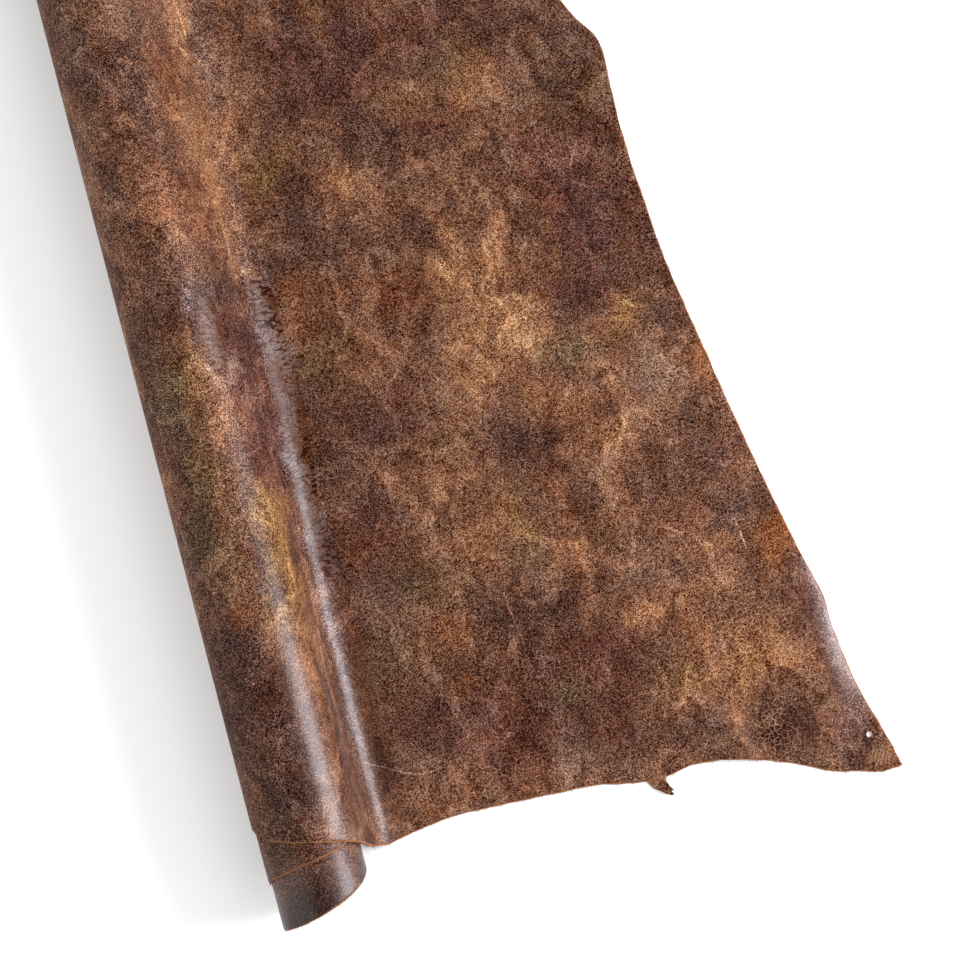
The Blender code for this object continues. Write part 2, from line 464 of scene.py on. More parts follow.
print("the sheet meets the floor", round(float(Section(np.array(-0.3)).foot), 4), "from the roll's axis")

# %% [markdown]
# ## A fine net of points
#
# The pattern is divided between a few lines that run from neck to rear: the wound end, a line under
# the roll, a line right of its crown, the foot of the bend and the right margin. Between two lines the
# points are blended from the four edges around them, which is called a Coons patch. The part of the
# roll that nobody can see gets wide steps, and the first and last step everywhere is only as wide as
# the worn corner of the cut edge.

# %% Steps across and along
WORN_EDGE = 0.0012
WORN_DEPTH = 0.3  # of the thickness, at the cut itself
HIDDEN_FROM, ROLL_TO = radians(190), radians(-52.5)
HIDDEN_STEPS, ROLL_STEPS, BEND_STEPS, FLAT_STEPS = 70, 72, 38, 124
ROW_STEPS, REAR_ROW_STEPS, REAR_STRIP = 196, 26, 0.065
MIDDLE_LENGTH, HIDDEN_WIDTH, FLAT_WIDTH = 1.09, 0.56, 0.49  # the worn steps are set against these


def neck_point(across):
    return np.stack([across, through(NECK_MARGIN, across)], -1)


def rear_point(across):
    return np.stack([across, through(REAR_MARGIN, across)], -1)


def fold_line(place):
    """The line across = place(section), from the neck margin to the rear one."""
    neck = neck_point(place(Section(np.array(NECK_MARGIN[-1][1]))))
    rear = rear_point(place(Section(np.array(REAR_MARGIN[-1][1]))))

    def at(t):
        along = neck[1] + (rear[1] - neck[1]) * t
        return np.stack([place(Section(along)), along], -1)

    return at


def right_margin(t):
    along = RIGHT_MARGIN[-1][0] + (REAR_MARGIN[-1][1] - RIGHT_MARGIN[-1][0]) * t
    return np.stack([through(RIGHT_MARGIN, along), along], -1)


def wound_end(t):
    """The right margin mirrored about the animal's spine."""
    along = RIGHT_MARGIN[-1][0] + (REAR_MARGIN[0][1] - RIGHT_MARGIN[-1][0]) * t
    spine = Section(along).crown - SPINE
    return np.stack([2 * spine - through(RIGHT_MARGIN, along), along], -1)


def roll_line(turned):
    return fold_line(lambda section: section.crown - wound_length(turned))


def foot_line():
    return fold_line(lambda section: section.foot)


# %% The patches between the lines
def patch(left, right, s, t):
    """Points between two lines and the two margins that join them."""
    ends = [np.atleast_2d(line(np.array([0.0, 1.0]))) for line in (left, right)]
    (left_top, left_low), (right_top, right_low) = ends
    top = neck_point(left_top[0] + (right_top[0] - left_top[0]) * s)[:, None]
    low = rear_point(left_low[0] + (right_low[0] - left_low[0]) * s)[:, None]
    s, t = s[:, None, None], t[None, :, None]
    sides = left(t[0, :, 0])[None] * (1 - s) + right(t[0, :, 0])[None] * s
    corners = (left_top * (1 - s) + right_top * s) * (1 - t) + (left_low * (1 - s) + right_low * s) * t
    return sides + top * (1 - t) + low * t - corners


def shares(lengths):
    """Running shares of a whole, from 0 to 1, for steps of these lengths."""
    return np.concatenate([[0.0], np.cumsum(lengths)]) / np.sum(lengths)


long_rows = [(MIDDLE_LENGTH - REAR_STRIP) / ROW_STEPS] * ROW_STEPS
rear_rows = [REAR_STRIP / REAR_ROW_STEPS] * REAR_ROW_STEPS
rows = shares([WORN_EDGE] + long_rows + rear_rows + [WORN_EDGE])
wound_steps = shares([WORN_EDGE] + [HIDDEN_WIDTH / HIDDEN_STEPS] * HIDDEN_STEPS)
flat_steps = shares([FLAT_WIDTH / FLAT_STEPS] * FLAT_STEPS + [WORN_EDGE])
strips = [
    patch(wound_end, roll_line(HIDDEN_FROM), wound_steps, rows),
    patch(roll_line(HIDDEN_FROM), roll_line(ROLL_TO), shares([1] * ROLL_STEPS), rows)[1:],
    patch(roll_line(ROLL_TO), foot_line(), shares([1] * BEND_STEPS), rows)[1:],
    patch(foot_line(), right_margin, flat_steps, rows)[1:],
]
net = np.concatenate(strips)
COLUMNS, ROWS = net.shape[:2]
print("the net has", COLUMNS, "columns of", ROWS, "points")

# %% [markdown]
# ## Soft unevenness
#
# A hide never lies dead flat. It cockles a little where it was stretched, and it wrinkles across
# where it is bent sharply. Both are small heights added to the laid surface, always outwards, so the
# sheet never dips into the floor or into the turn below it. The knife was never quite steady either,
# so the margins' points are pushed about by less than a millimetre first.


# %% Clouds of noise over the pattern
def clouds(across, along, size, seed, depth=3):
    """Soft random hills, about -1 to 1, `size` metres wide, over the pattern."""
    spots = zip((across / size).ravel(), (along / size).ravel())
    values = [noise.fractal(Vector((x, y, seed)), 0.8, 2.0, depth) for x, y in spots]
    return np.array(values).reshape(across.shape)


def smooth_step(low, high, value):
    t = np.clip((value - low) / (high - low), 0, 1)
    return t * t * (3 - 2 * t)


# %% A knife's unsteady cut
WOBBLE = 0.0008
WOBBLE_LENGTH = 0.013

for margin in (np.s_[1:, 0], np.s_[-1, 1:-1], np.s_[1:, -1]):
    cut = net[margin]
    for k, seed in ((0, 71.0), (1, 72.0)):
        net[margin][..., k] += WOBBLE * clouds(cut[..., 0], cut[..., 1], WOBBLE_LENGTH, seed, 2)
across, along = net[..., 0], net[..., 1]
print("the hide is", np.round(np.ptp(across), 3), "across and", np.round(np.ptp(along), 3), "along")

# %% Cockles, wrinkles and creases
COCKLE_HEIGHT = 0.0011
WRINKLE_HEIGHT = 0.00035
CREASES = (  # across, along, turn, reach, width, height: soft ridges (+) and troughs (-)
    (0.352, -0.395, radians(68), 0.055, 0.006, 0.0006),
)


def cockles(across, along, section):
    """Small heights of the flat side and the bend, zero or more."""
    on_flat = smooth_step(section.foot - 0.03, section.foot + 0.05, across)
    hills = clouds(across, along, 0.085, 3.0) * 0.5 + 0.5
    flat = COCKLE_HEIGHT * on_flat * np.clip(hills, 0, 1.4)
    bend = np.exp(-(((across - section.bend_start - 0.01) / 0.03) ** 2))
    ripple = clouds(across, along * 2.6, 0.030, 8.0) * 0.5 + 0.5
    height = flat + WRINKLE_HEIGHT * bend * np.clip(ripple, 0, 1.5)
    for at_across, at_along, turn, reach, width, top in CREASES:
        u = (across - at_across) * cos(turn) + (along - at_along) * sin(turn)
        v = (along - at_along) * cos(turn) - (across - at_across) * sin(turn)
        height += top * np.exp(-((u / reach) ** 2) - (v / width) ** 2)
    return np.maximum(height, 0)


def lay(across, along, extra=0.0):
    """The grain side's and the flesh side's points: arrays of x, y, z."""
    section = Section(along)
    x, z, tilt = section.lay(across)
    z = z + np.where(across > section.foot, lift(across, along), 0)
    out = np.stack([np.sin(tilt), 0 * tilt, np.cos(tilt)], -1)
    middle = np.stack([ROLL_X + x, along, z], -1)
    middle = middle + out * (cockles(across, along, section) + extra)[..., None]
    grain, flesh = middle + out * THICKNESS / 2, middle - out * THICKNESS / 2
    for side in (grain, flesh):
        side[..., 2] = np.maximum(side[..., 2], 0.0)
    return grain, flesh


grain, flesh = lay(across, along)
edge_columns, edge_rows = (0, COLUMNS - 1), (0, ROWS - 1)
grain[edge_columns, :, :] -= (grain - flesh)[edge_columns, :, :] * WORN_DEPTH
grain[:, edge_rows, :] -= (grain - flesh)[:, edge_rows, :] * WORN_DEPTH
print("grain side from", np.round(grain.min((0, 1)), 4), "to", np.round(grain.max((0, 1)), 4))

# %% [markdown]
# ## The mesh of the hide
#
# The grain side takes every point of the net. The flesh side lies on the floor or inside the roll,
# so it takes every second one. The rim joins the two, and stays as sharp as a knife leaves it.

# %% Grain, flesh and rim as one closed skin
UV_NAME = "OFBake"
PATTERN_SIZE = 1.4  # the map's width, in metres of leather
PATTERN_FROM = (-0.80, -0.57)
FLESH_STRIP = 0.15  # the flesh side's share of the map's height


def thinned(count, whole_to=0):
    """Every index up to whole_to, then every second one, and always the two at each end."""
    kept = list(range(whole_to)) + list(range(max(whole_to, 1), count - 1, 2))
    return sorted({0, 1, *kept, count - 2, count - 1})


kept_columns, kept_rows = thinned(COLUMNS, HIDDEN_STEPS), thinned(ROWS)
flesh_at = {(i, j): k for k, (i, j) in enumerate((i, j) for i in kept_columns for j in kept_rows)}
points = np.concatenate([grain.reshape(-1, 3), flesh[np.ix_(kept_columns, kept_rows)].reshape(-1, 3)])


def grain_point(i, j):
    return i * ROWS + j


def flesh_point(i, j):
    return COLUMNS * ROWS + flesh_at[i, j]


GRAIN, EDGE, FLESH = 0, 1, 2
faces, finishes = [], []
for i in range(COLUMNS - 1):
    for j in range(ROWS - 1):
        faces.append([grain_point(*c) for c in ((i, j), (i, j + 1), (i + 1, j + 1), (i + 1, j))])
        worn = i in (0, COLUMNS - 2) or j in (0, ROWS - 2)
        finishes.append(EDGE if worn else GRAIN)
for i, right in zip(kept_columns, kept_columns[1:]):
    for j, low in zip(kept_rows, kept_rows[1:]):
        faces.append([flesh_point(*c) for c in ((i, j), (right, j), (right, low), (i, low))])
        finishes.append(FLESH)
down = [(0, j) for j in kept_rows]
rightwards = [(i, ROWS - 1) for i in kept_columns[1:]]
up = [(COLUMNS - 1, j) for j in reversed(kept_rows[:-1])]
back = [(i, 0) for i in reversed(kept_columns[:-1])]
rim = down + rightwards + up + back


def steps_between(a, b):
    """The net's points from a to b, along one row or column."""
    right, down = b[0] - a[0], b[1] - a[1]
    count = max(abs(right), abs(down))
    return [(a[0] + right * k // count, a[1] + down * k // count) for k in range(count + 1)]


for a, b in zip(rim, rim[1:]):
    above = [grain_point(*c) for c in reversed(steps_between(a, b))]
    faces.append(above + [flesh_point(*a), flesh_point(*b)])
    finishes.append(EDGE)

mesh = bpy.data.meshes.new("hide")
mesh.from_pydata(points.tolist(), [], faces)
mesh.polygons.foreach_set("material_index", finishes)
hide = bpy.data.objects.new("hide", mesh)
bpy.context.collection.objects.link(hide)
print("the hide has", len(mesh.vertices), "points and", len(mesh.polygons), "faces")

# %% [markdown]
# ## Where each point is on the pattern
#
# A UV map is a flat drawing of a mesh, and this mesh already has one: the pattern itself. The grain
# side fills the map, and the flesh side and the rim, which are plain, get a narrow strip above it. The
# grain's texture reads this map, so it follows the leather round the roll and isn't stretched by it.

# %% The map
net_places = net.reshape(-1, 2)
flesh_places = net[np.ix_(kept_columns, kept_rows)].reshape(-1, 2)
grain_map = (net_places - PATTERN_FROM) / PATTERN_SIZE
flesh_map = (flesh_places - PATTERN_FROM) / PATTERN_SIZE * (1, FLESH_STRIP) + (0, 1 - FLESH_STRIP)
corner_points = np.zeros(len(mesh.loops), int)
mesh.loops.foreach_get("vertex_index", corner_points)
places = np.concatenate([grain_map, flesh_map])[corner_points]
rim_map = np.concatenate([grain_map * (1, FLESH_STRIP) + (0, 1 - FLESH_STRIP), flesh_map])[corner_points]
first_of_rim = len(faces) - (len(rim) - 1)  # the rim's faces were made last
on_rim = np.repeat(np.arange(len(faces)) >= first_of_rim, [len(face) for face in faces])
places[on_rim] = rim_map[on_rim]
layer = mesh.uv_layers.new(name=UV_NAME)
layer.uv.foreach_set("vector", places.astype(np.float32).ravel())
print("map from", np.round(places.min(0), 3), "to", np.round(places.max(0), 3))

# %% [markdown]
# ## The dye
#
# The leather was dyed by hand in many soft, overlapping stains, and the top coat was then rubbed thin
# here and there. So it is painted the same way: one base colour, then a list of stains, each with a
# place, a reach, a turn, a dye and a strength. Some are narrow pale streaks, left by the rubbing. A few
# are painted light: highlights on the bend, the crown, a ridge and the right margin, and shade in the
# dark stains on the roll's left side.
# Before they go on, the pattern is pushed about by noise, so that no stain keeps a round edge. Each
# point of the net gets one colour.


# %% Colours by name
LIT = 1.75  # a dye is this much darker than it looks in so much light
GAMMA = 2.2  # from the even steps that an eye sees to the amount of light
SHEEN = (0.004, 0.007, 0.012)  # light that the wax reflects, on top of the dye's own


def seen(*rgb):
    """A colour as it looks in this light, from 0 to 255, in even steps from 0 to 1."""
    return np.array(rgb) / 255


def colour(*rgb):
    """The dye that looks like this colour, as a material wants it."""
    return (*((seen(*rgb) ** GAMMA - SHEEN) / LIT), 1)


DYES = {
    "base": seen(116, 76, 58),
    "maroon": seen(88, 52, 43),
    "umber": seen(74, 46, 37),
    "black": seen(50, 36, 31),
    "brown": seen(104, 66, 50),
    "russet": seen(136, 84, 58),
    "tan": seen(158, 106, 74),
    "pale": seen(170, 121, 86),
    "ochre": seen(142, 98, 58),
    "gold": seen(164, 118, 70),
    "olive": seen(100, 74, 50),
    "grey": seen(112, 84, 70),
    "mauve": seen(124, 94, 86),
    "orange": seen(146, 86, 52),
    # the lavender of the painted highlight on the bend and on the roll's crown
    "painted_sheen": seen(140, 121, 121),
}

# %% The stains
STAINS = (  # from the roll's axis, along, reach across, reach along, turn, dye, strength
    # the neck half of the roll, the bend and the flat side near it
    (0.075, 0.315, 0.0075, 0.0125, 0, "pale", 0.9),
    (0.080, 0.335, 0.0175, 0.0325, 0, "tan", 0.5),
    (0.060, 0.280, 0.02, 0.0275, 0, "tan", 0.5),
    (0.070, 0.230, 0.0325, 0.0225, 0, "tan", 0.8),
    (0.080, 0.195, 0.0275, 0.025, 0, "tan", 0.7),
    (0.120, 0.175, 0.035, 0.0175, 10, "ochre", 0.7),
    (0.040, 0.155, 0.0425, 0.0325, 0, "russet", 0.7),
    (0.065, 0.125, 0.015, 0.0375, 0, "pale", 0.6),
    (0.075, 0.080, 0.0175, 0.0125, 20, "pale", 0.8),
    (0.190, 0.230, 0.0425, 0.0225, 20, "maroon", 0.9),
    (0.175, 0.280, 0.0325, 0.025, 0, "maroon", 0.8),
    (0.270, 0.260, 0.0325, 0.0375, 0, "maroon", 0.6),
    (0.235, 0.215, 0.0325, 0.015, 0, "brown", 0.5),
    (0.140, 0.120, 0.0325, 0.02, 0, "umber", 0.7),
    (0.245, 0.080, 0.0325, 0.025, 0, "umber", 0.7),
    (0.160, 0.075, 0.0425, 0.02, 0, "umber", 0.6),
    (0.210, 0.135, 0.0325, 0.02, 0, "tan", 0.6),
    (0.175, 0.125, 0.0325, 0.015, 0, "russet", 0.5),
    (0.285, 0.205, 0.025, 0.02, 0, "tan", 0.7),
    (0.340, 0.235, 0.02, 0.0325, 0, "ochre", 0.6),
    (0.280, 0.170, 0.0425, 0.015, 0, "maroon", 0.7),
    (0.280, 0.045, 0.0125, 0.0625, 8, "tan", 0.8),
    (0.155, -0.010, 0.0775, 0.0425, 0, "russet", 0.4),
    (0.130, -0.025, 0.0325, 0.025, 0, "olive", 0.5),
    (0.170, -0.100, 0.0475, 0.0325, 0, "maroon", 0.7),
    # the dark stains at zero across and left of it lie on the roll's left side, which faces away from the
    # soft box: they are partly dye and partly painted shade
    (-0.005, 0.275, 0.02, 0.0475, 0, "umber", 0.6),
    (0.000, 0.205, 0.025, 0.0425, 0, "brown", 0.6),
    (0.000, 0.045, 0.0375, 0.025, 0, "umber", 0.9),
    (-0.025, 0.150, 0.015, 0.0525, 0, "russet", 0.5),
    (0.055, 0.055, 0.025, 0.015, 0, "umber", 0.6),
    (0.055, 0.000, 0.025, 0.0325, 0, "maroon", 0.8),
    (0.060, -0.100, 0.02, 0.1025, 0, "maroon", 0.8),
    (0.025, -0.040, 0.0125, 0.0575, 0, "tan", 0.6),
    (0.010, -0.015, 0.02, 0.025, 0, "ochre", 0.6),
    (-0.015, -0.040, 0.02, 0.0575, 0, "olive", 0.6),
    (0.115, 0.050, 0.025, 0.025, 0, "russet", 0.5),
    # the neck half of the flat side
    (0.335, 0.185, 0.0325, 0.015, 0, "tan", 0.6),
    (0.265, 0.120, 0.025, 0.01, 10, "tan", 0.5),
    (0.340, 0.155, 0.0325, 0.0125, 15, "pale", 0.4),
    (0.325, 0.235, 0.0325, 0.0325, 0, "olive", 0.3),
    (0.430, 0.170, 0.0475, 0.0325, 0, "olive", 0.7),
    (0.355, 0.130, 0.02, 0.015, 0, "mauve", 0.4),
    (0.420, 0.035, 0.0525, 0.0475, 0, "maroon", 0.9),
    (0.395, 0.080, 0.0325, 0.0325, 0, "maroon", 0.6),
    (0.320, 0.020, 0.0425, 0.0225, 20, "tan", 0.9),
    (0.275, 0.040, 0.025, 0.0375, 0, "tan", 0.6),
    (0.305, -0.030, 0.0575, 0.0325, -20, "tan", 0.8),
    (0.325, -0.055, 0.0325, 0.0175, -30, "pale", 0.4),
    (0.270, -0.075, 0.0325, 0.0325, 0, "pale", 0.5),
    (0.345, -0.120, 0.025, 0.0325, 0, "tan", 0.7),
    (0.395, -0.025, 0.035, 0.0225, 0, "maroon", 0.8),
    (0.435, -0.065, 0.025, 0.0175, 30, "gold", 0.5),
    (0.475, -0.075, 0.0225, 0.0175, 0, "umber", 0.5),
    (0.375, -0.080, 0.0325, 0.0175, 0, "olive", 0.6),
    (0.450, -0.135, 0.0325, 0.02, 0, "grey", 0.6),
    (0.405, -0.110, 0.015, 0.02, 0, "tan", 0.6),
    (0.410, -0.165, 0.0625, 0.0125, 15, "tan", 0.6),
    (0.495, -0.120, 0.01, 0.0325, 0, "orange", 0.35),
    (0.290, -0.150, 0.0325, 0.0325, 0, "umber", 0.6),
    (0.370, 0.060, 0.0325, 0.015, 0, "brown", 0.4),
    (0.230, 0.015, 0.0325, 0.025, 0, "russet", 0.5),
    (0.245, -0.020, 0.02, 0.02, 0, "maroon", 0.6),
    (0.195, -0.035, 0.0375, 0.02, 0, "russet", 0.5),
    (0.220, -0.145, 0.0325, 0.0325, 0, "tan", 0.5),
    (0.225, 0.275, 0.015, 0.0325, 0, "maroon", 0.7),
    (0.255, 0.275, 0.0075, 0.0225, 0, "russet", 0.6),
    (0.380, 0.255, 0.0325, 0.0325, 0, "umber", 0.5),
    (0.440, 0.230, 0.0425, 0.0325, 0, "grey", 0.3),
    # the rear half of the roll, the bend and the flat side near it
    # the dark stains at zero across and left of it lie on the roll's left side, which faces away from the
    # soft box: they are partly dye and partly painted shade
    (-0.010, -0.120, 0.02, 0.0325, 0, "olive", 0.6),
    (-0.020, -0.180, 0.02, 0.0325, 0, "olive", 0.6),
    (0.005, -0.240, 0.0225, 0.015, 0, "orange", 0.4),
    (-0.015, -0.275, 0.0225, 0.0225, 0, "umber", 0.9),
    (-0.035, -0.340, 0.025, 0.0575, 0, "umber", 0.7),
    (0.005, -0.350, 0.02, 0.0775, 0, "umber", 0.9),
    (0.040, -0.160, 0.0125, 0.0325, 0, "gold", 0.6),
    (0.0425, -0.210, 0.0125, 0.0425, 0, "gold", 0.65),
    (0.0425, -0.260, 0.0125, 0.04, 0, "ochre", 0.5),
    (0.050, -0.320, 0.01, 0.0325, 0, "tan", 0.8),
    (0.070, -0.300, 0.0075, 0.0475, 0, "maroon", 0.6),
    (0.058, -0.365, 0.013, 0.0425, 0, "umber", 0.5),
    (0.055, -0.425, 0.0125, 0.0475, 0, "umber", 0.4),
    (0.000, -0.425, 0.025, 0.0475, 0, "umber", 0.8),
    (-0.015, -0.515, 0.0425, 0.025, 0, "black", 0.8),
    (0.005, -0.495, 0.0325, 0.0125, 15, "russet", 0.5),
    (0.130, -0.220, 0.0425, 0.0575, 0, "maroon", 0.6),
    (0.205, -0.180, 0.0375, 0.025, 0, "tan", 0.6),
    (0.230, -0.250, 0.0325, 0.0325, 0, "tan", 0.7),
    (0.185, -0.330, 0.035, 0.0175, 15, "tan", 0.7),
    (0.165, -0.265, 0.0325, 0.0325, 0, "olive", 0.5),
    (0.135, -0.400, 0.0575, 0.0325, 0, "maroon", 0.6),
    (0.120, -0.330, 0.025, 0.025, 0, "olive", 0.4),
    (0.185, -0.380, 0.02, 0.015, 0, "russet", 0.9),
    (0.275, -0.230, 0.0175, 0.0325, 20, "ochre", 0.5),
    (0.275, -0.330, 0.0475, 0.0325, 0, "umber", 0.7),
    (0.375, -0.245, 0.0125, 0.0375, 0, "tan", 0.5),
    (0.375, -0.350, 0.0225, 0.015, 0, "tan", 0.7),
    (0.320, -0.275, 0.025, 0.02, 0, "tan", 0.4),
    (0.210, -0.440, 0.0625, 0.0325, 0, "maroon", 0.5),
    (0.280, -0.450, 0.0425, 0.0325, 0, "umber", 0.6),
    (0.320, -0.470, 0.015, 0.015, 0, "russet", 0.6),
    (0.350, -0.410, 0.0325, 0.025, 0, "maroon", 0.5),
    (0.145, -0.485, 0.0375, 0.01, 15, "russet", 0.4),
    # the rear half of the flat side, out to the tip
    (0.305, -0.170, 0.0275, 0.02, 0, "umber", 0.55),
    (0.375, -0.165, 0.0375, 0.015, 15, "tan", 0.5),
    (0.365, -0.265, 0.0075, 0.0375, 10, "tan", 0.5),
    (0.405, -0.265, 0.0325, 0.0325, 0, "brown", 0.4),
    (0.370, -0.345, 0.0325, 0.015, 0, "tan", 0.8),
    (0.435, -0.345, 0.0325, 0.015, 10, "tan", 0.5),
    (0.425, -0.375, 0.02, 0.0325, 0, "tan", 0.7),
    (0.465, -0.305, 0.0325, 0.01, 0, "tan", 0.7),
    (0.495, -0.220, 0.0425, 0.025, 0, "maroon", 0.5),
    (0.495, -0.275, 0.0425, 0.025, 0, "umber", 0.55),
    (0.530, -0.315, 0.0225, 0.025, 0, "orange", 0.9),
    (0.525, -0.375, 0.04, 0.0325, 0, "umber", 0.45),
    (0.475, -0.415, 0.025, 0.0325, 0, "tan", 0.7),
    (0.445, -0.435, 0.0425, 0.015, 0, "tan", 0.5),
    (0.390, -0.420, 0.0325, 0.0325, 0, "ochre", 0.4),
    (0.315, -0.375, 0.0475, 0.025, 0, "maroon", 0.8),
    (0.235, -0.410, 0.0575, 0.0425, 0, "maroon", 0.6),
    (0.280, -0.410, 0.02, 0.02, 0, "olive", 0.5),
    (0.370, -0.460, 0.0075, 0.025, 10, "russet", 0.5),
    (0.475, -0.505, 0.03, 0.02, 0, "umber", 0.6),
    (0.540, -0.520, 0.02, 0.0225, 0, "mauve", 0.5),
    (0.555, -0.490, 0.025, 0.02, 0, "brown", 0.5),
    (0.570, -0.545, 0.015, 0.02, 0, "russet", 0.6),
    (0.330, -0.470, 0.02, 0.0325, 0, "maroon", 0.8),
    # painted highlight: the light streak and the pale spot on the right flank of the low ridge at the rear
    # margin
    (0.450, -0.460, 0.01, 0.0475, 0, "tan", 0.6),
    (0.4375, -0.500, 0.0075, 0.03, 0, "pale", 0.5),
    (0.4675, -0.440, 0.0075, 0.06, 5, "tan", 0.3),
    # painted highlight: a mauve band along the right margin, where the sheet curves down to the floor and
    # catches the soft box
    (0.540, -0.360, 0.0125, 0.0425, 8, "mauve", 0.8),
    (0.5475, -0.425, 0.0125, 0.0425, 8, "mauve", 0.8),
    (0.5575, -0.485, 0.01, 0.0375, 15, "mauve", 0.7),
    (0.000, 0.200, 0.04, 0.10, 0, "brown", 0.4),
    (0.250, 0.160, 0.06, 0.05, 0, "umber", 0.3),
    (0.420, 0.120, 0.07, 0.10, 0, "maroon", 0.5),
    (0.062, -0.430, 0.010, 0.12, 0, "brown", 0.5),
    (0.330, 0.270, 0.06, 0.04, 0, "maroon", 0.4),
    (0.440, 0.290, 0.05, 0.04, 0, "umber", 0.4),
    (0.400, -0.490, 0.03, 0.02, 0, "umber", 0.4),
    (0.485, -0.490, 0.025, 0.02, 0, "umber", 0.4),
    # streaks where the top coat was rubbed through
    (0.280, 0.060, 0.0065, 0.0375, 25, "pale", 0.6),
    (0.300, 0.010, 0.0065, 0.0375, 15, "pale", 0.5),
    (0.335, 0.065, 0.005, 0.035, -10, "tan", 0.6),
    (0.345, -0.020, 0.006, 0.0275, 60, "pale", 0.5),
    (0.375, 0.015, 0.005, 0.0325, -15, "tan", 0.5),
    (0.420, 0.225, 0.004, 0.0225, 5, "pale", 0.6),
    (0.435, 0.205, 0.004, 0.0125, 75, "pale", 0.5),
    (0.355, 0.230, 0.0065, 0.0325, 10, "tan", 0.5),
    (0.320, -0.095, 0.0065, 0.0425, 20, "tan", 0.5),
    (0.210, 0.300, 0.005, 0.035, 8, "tan", 0.5),
    (0.185, 0.200, 0.006, 0.03, 60, "tan", 0.5),
    # painted highlight on the bend and on the roll's crown, where the soft box reflects
    (0.085, 0.060, 0.0085, 0.025, 0, "painted_sheen", 0.6),
    (0.084, 0.025, 0.011, 0.0275, 0, "painted_sheen", 0.9),
    (0.0865, -0.015, 0.011, 0.03, 0, "painted_sheen", 0.9),
    (0.0865, -0.060, 0.011, 0.0325, 3, "painted_sheen", 0.9),
    (0.081, -0.115, 0.0095, 0.04, 4, "painted_sheen", 0.9),
    (0.0765, -0.190, 0.0075, 0.05, 3, "painted_sheen", 0.8),
    (0.070, -0.330, 0.0065, 0.10, 0, "painted_sheen", 0.5),
    (0.0345, 0.022, 0.01, 0.04, 0, "painted_sheen", 0.7),
    # the turns that show at the roll's rear end
    (-0.400, -0.540, 0.35, 0.06, 0, "umber", 0.8),
    (-0.640, -0.560, 0.16, 0.05, 0, "black", 0.6),
    # round the hole and the tooth marks
    (0.569, -0.549, 0.013, 0.013, 0, "tan", 0.5),
    (0.583, -0.556, 0.006, 0.008, 0, "umber", 0.8),
    (0.552, -0.525, 0.012, 0.014, 0, "umber", 0.6),
    (0.576, -0.540, 0.004, 0.004, 0, "black", 0.8),
)


# %% Where a stain falls
PUSHES = (  # size, seed, push of the clouds that make the stains' edges uneven
    (0.070, 21.0, 0.014),
    (0.025, 23.0, 0.007),
    (0.010, 25.0, 0.003),
)
MOTTLE = (  # size, seed, strength of the clouds of light and dark
    (0.060, 31.0, 6.0),
    (0.030, 33.0, 4.0),
    (0.014, 35.0, 4.0),
)
DARKEST = seen(24, 14, 12)


def seen_across(across, along):
    """How far right of the roll's axis a place shows from above, and further left for the rest."""
    section = Section(along)
    left_side = section.crown - wound_length(pi / 2)
    hidden = across - left_side - turn_radius(pi / 2)
    return np.where(across > left_side, section.lay(across)[0], hidden)


def spot(u, v, at_across, at_along, reach_across, reach_along, turn):
    """1 in the middle of a spot, 0.4 at its reach and next to nothing past it."""
    right = (u - at_across) * cos(radians(turn)) + (v - at_along) * sin(radians(turn))
    up = (v - at_along) * cos(radians(turn)) - (u - at_across) * sin(radians(turn))
    return np.exp(-(np.hypot(right / reach_across, up / reach_along) ** 2.5))


def painted(across, along):
    """The dye's colour at each place of the pattern."""
    u, v = seen_across(across, along), along
    for size, seed, push in PUSHES:
        u = u + push * clouds(across, along, size, seed, 2)
        v = v + push * clouds(across, along, size, seed + 50, 2)
    dyed = np.zeros(across.shape + (3,)) + DYES["base"]
    for *place, dye, strength in STAINS:
        cover = strength * spot(u, v, *place)
        dyed += (DYES[dye] - dyed) * cover[..., None]
    light = sum(level * clouds(across, along, size, seed, 1) for size, seed, level in MOTTLE)
    dyed += light[..., None] / 255
    warmer = 5 / 255 * clouds(across, along, 0.05, 51.0)
    dyed += warmer[..., None] * (1, 0, -0.4)
    return np.maximum(dyed, DARKEST)


dyed = painted(across, along).reshape(-1, 3)
print("dyes from", np.round(dyed.min(0) * 255), "to", np.round(dyed.max(0) * 255))

# %% [markdown]
# ## Pebbles, wax and crumples
#
# Three more things change from place to place, and none of them is a colour. Where the hide was
# boarded, which is folding it and rolling the fold under a board, its grain broke into pebbles. Where
# the wax lies thick it shines, and where the coat was rubbed bare it doesn't. Where the sheet was bent
# sharply, it crumpled. Each is painted like the dye, as a few spots in a table.

# %% Where the finish changes
PEBBLES = (  # from the roll's axis, along, reach across, reach along, turn, how much
    (0.474, -0.497, 0.032, 0.028, 0, 0.75),
    (0.470, -0.395, 0.045, 0.060, 0, 0.5),
    (0.270, -0.380, 0.060, 0.060, 0, 0.4),
    (0.340, 0.100, 0.060, 0.090, 0, 0.3),
    (0.190, -0.470, 0.080, 0.030, 15, 0.4),
)
PEBBLED_ALL_OVER = 0.05
WAX = (  # from the roll's axis, along, reach across, reach along, turn, how much
    (0.0345, 0.022, 0.014, 0.045, 0, 0.45),
    (0.083, -0.010, 0.016, 0.10, 0, 0.4),
    (0.077, -0.160, 0.012, 0.08, 3, 0.6),
    (0.080, -0.400, 0.020, 0.24, 0, 0.8),
    (0.045, -0.400, 0.035, 0.18, 0, 0.7),
    (0.035, -0.100, 0.025, 0.10, 0, 0.2),
    (-0.500, -0.540, 0.50, 0.06, 0, 0.8),
    (0.545, -0.420, 0.020, 0.11, 8, 0.75),
    (0.440, -0.500, 0.012, 0.04, 0, 0.7),
    (0.510, -0.510, 0.030, 0.03, 0, 0.5),
)
RUBBED = 0.15  # wax left where the grain was rubbed bare
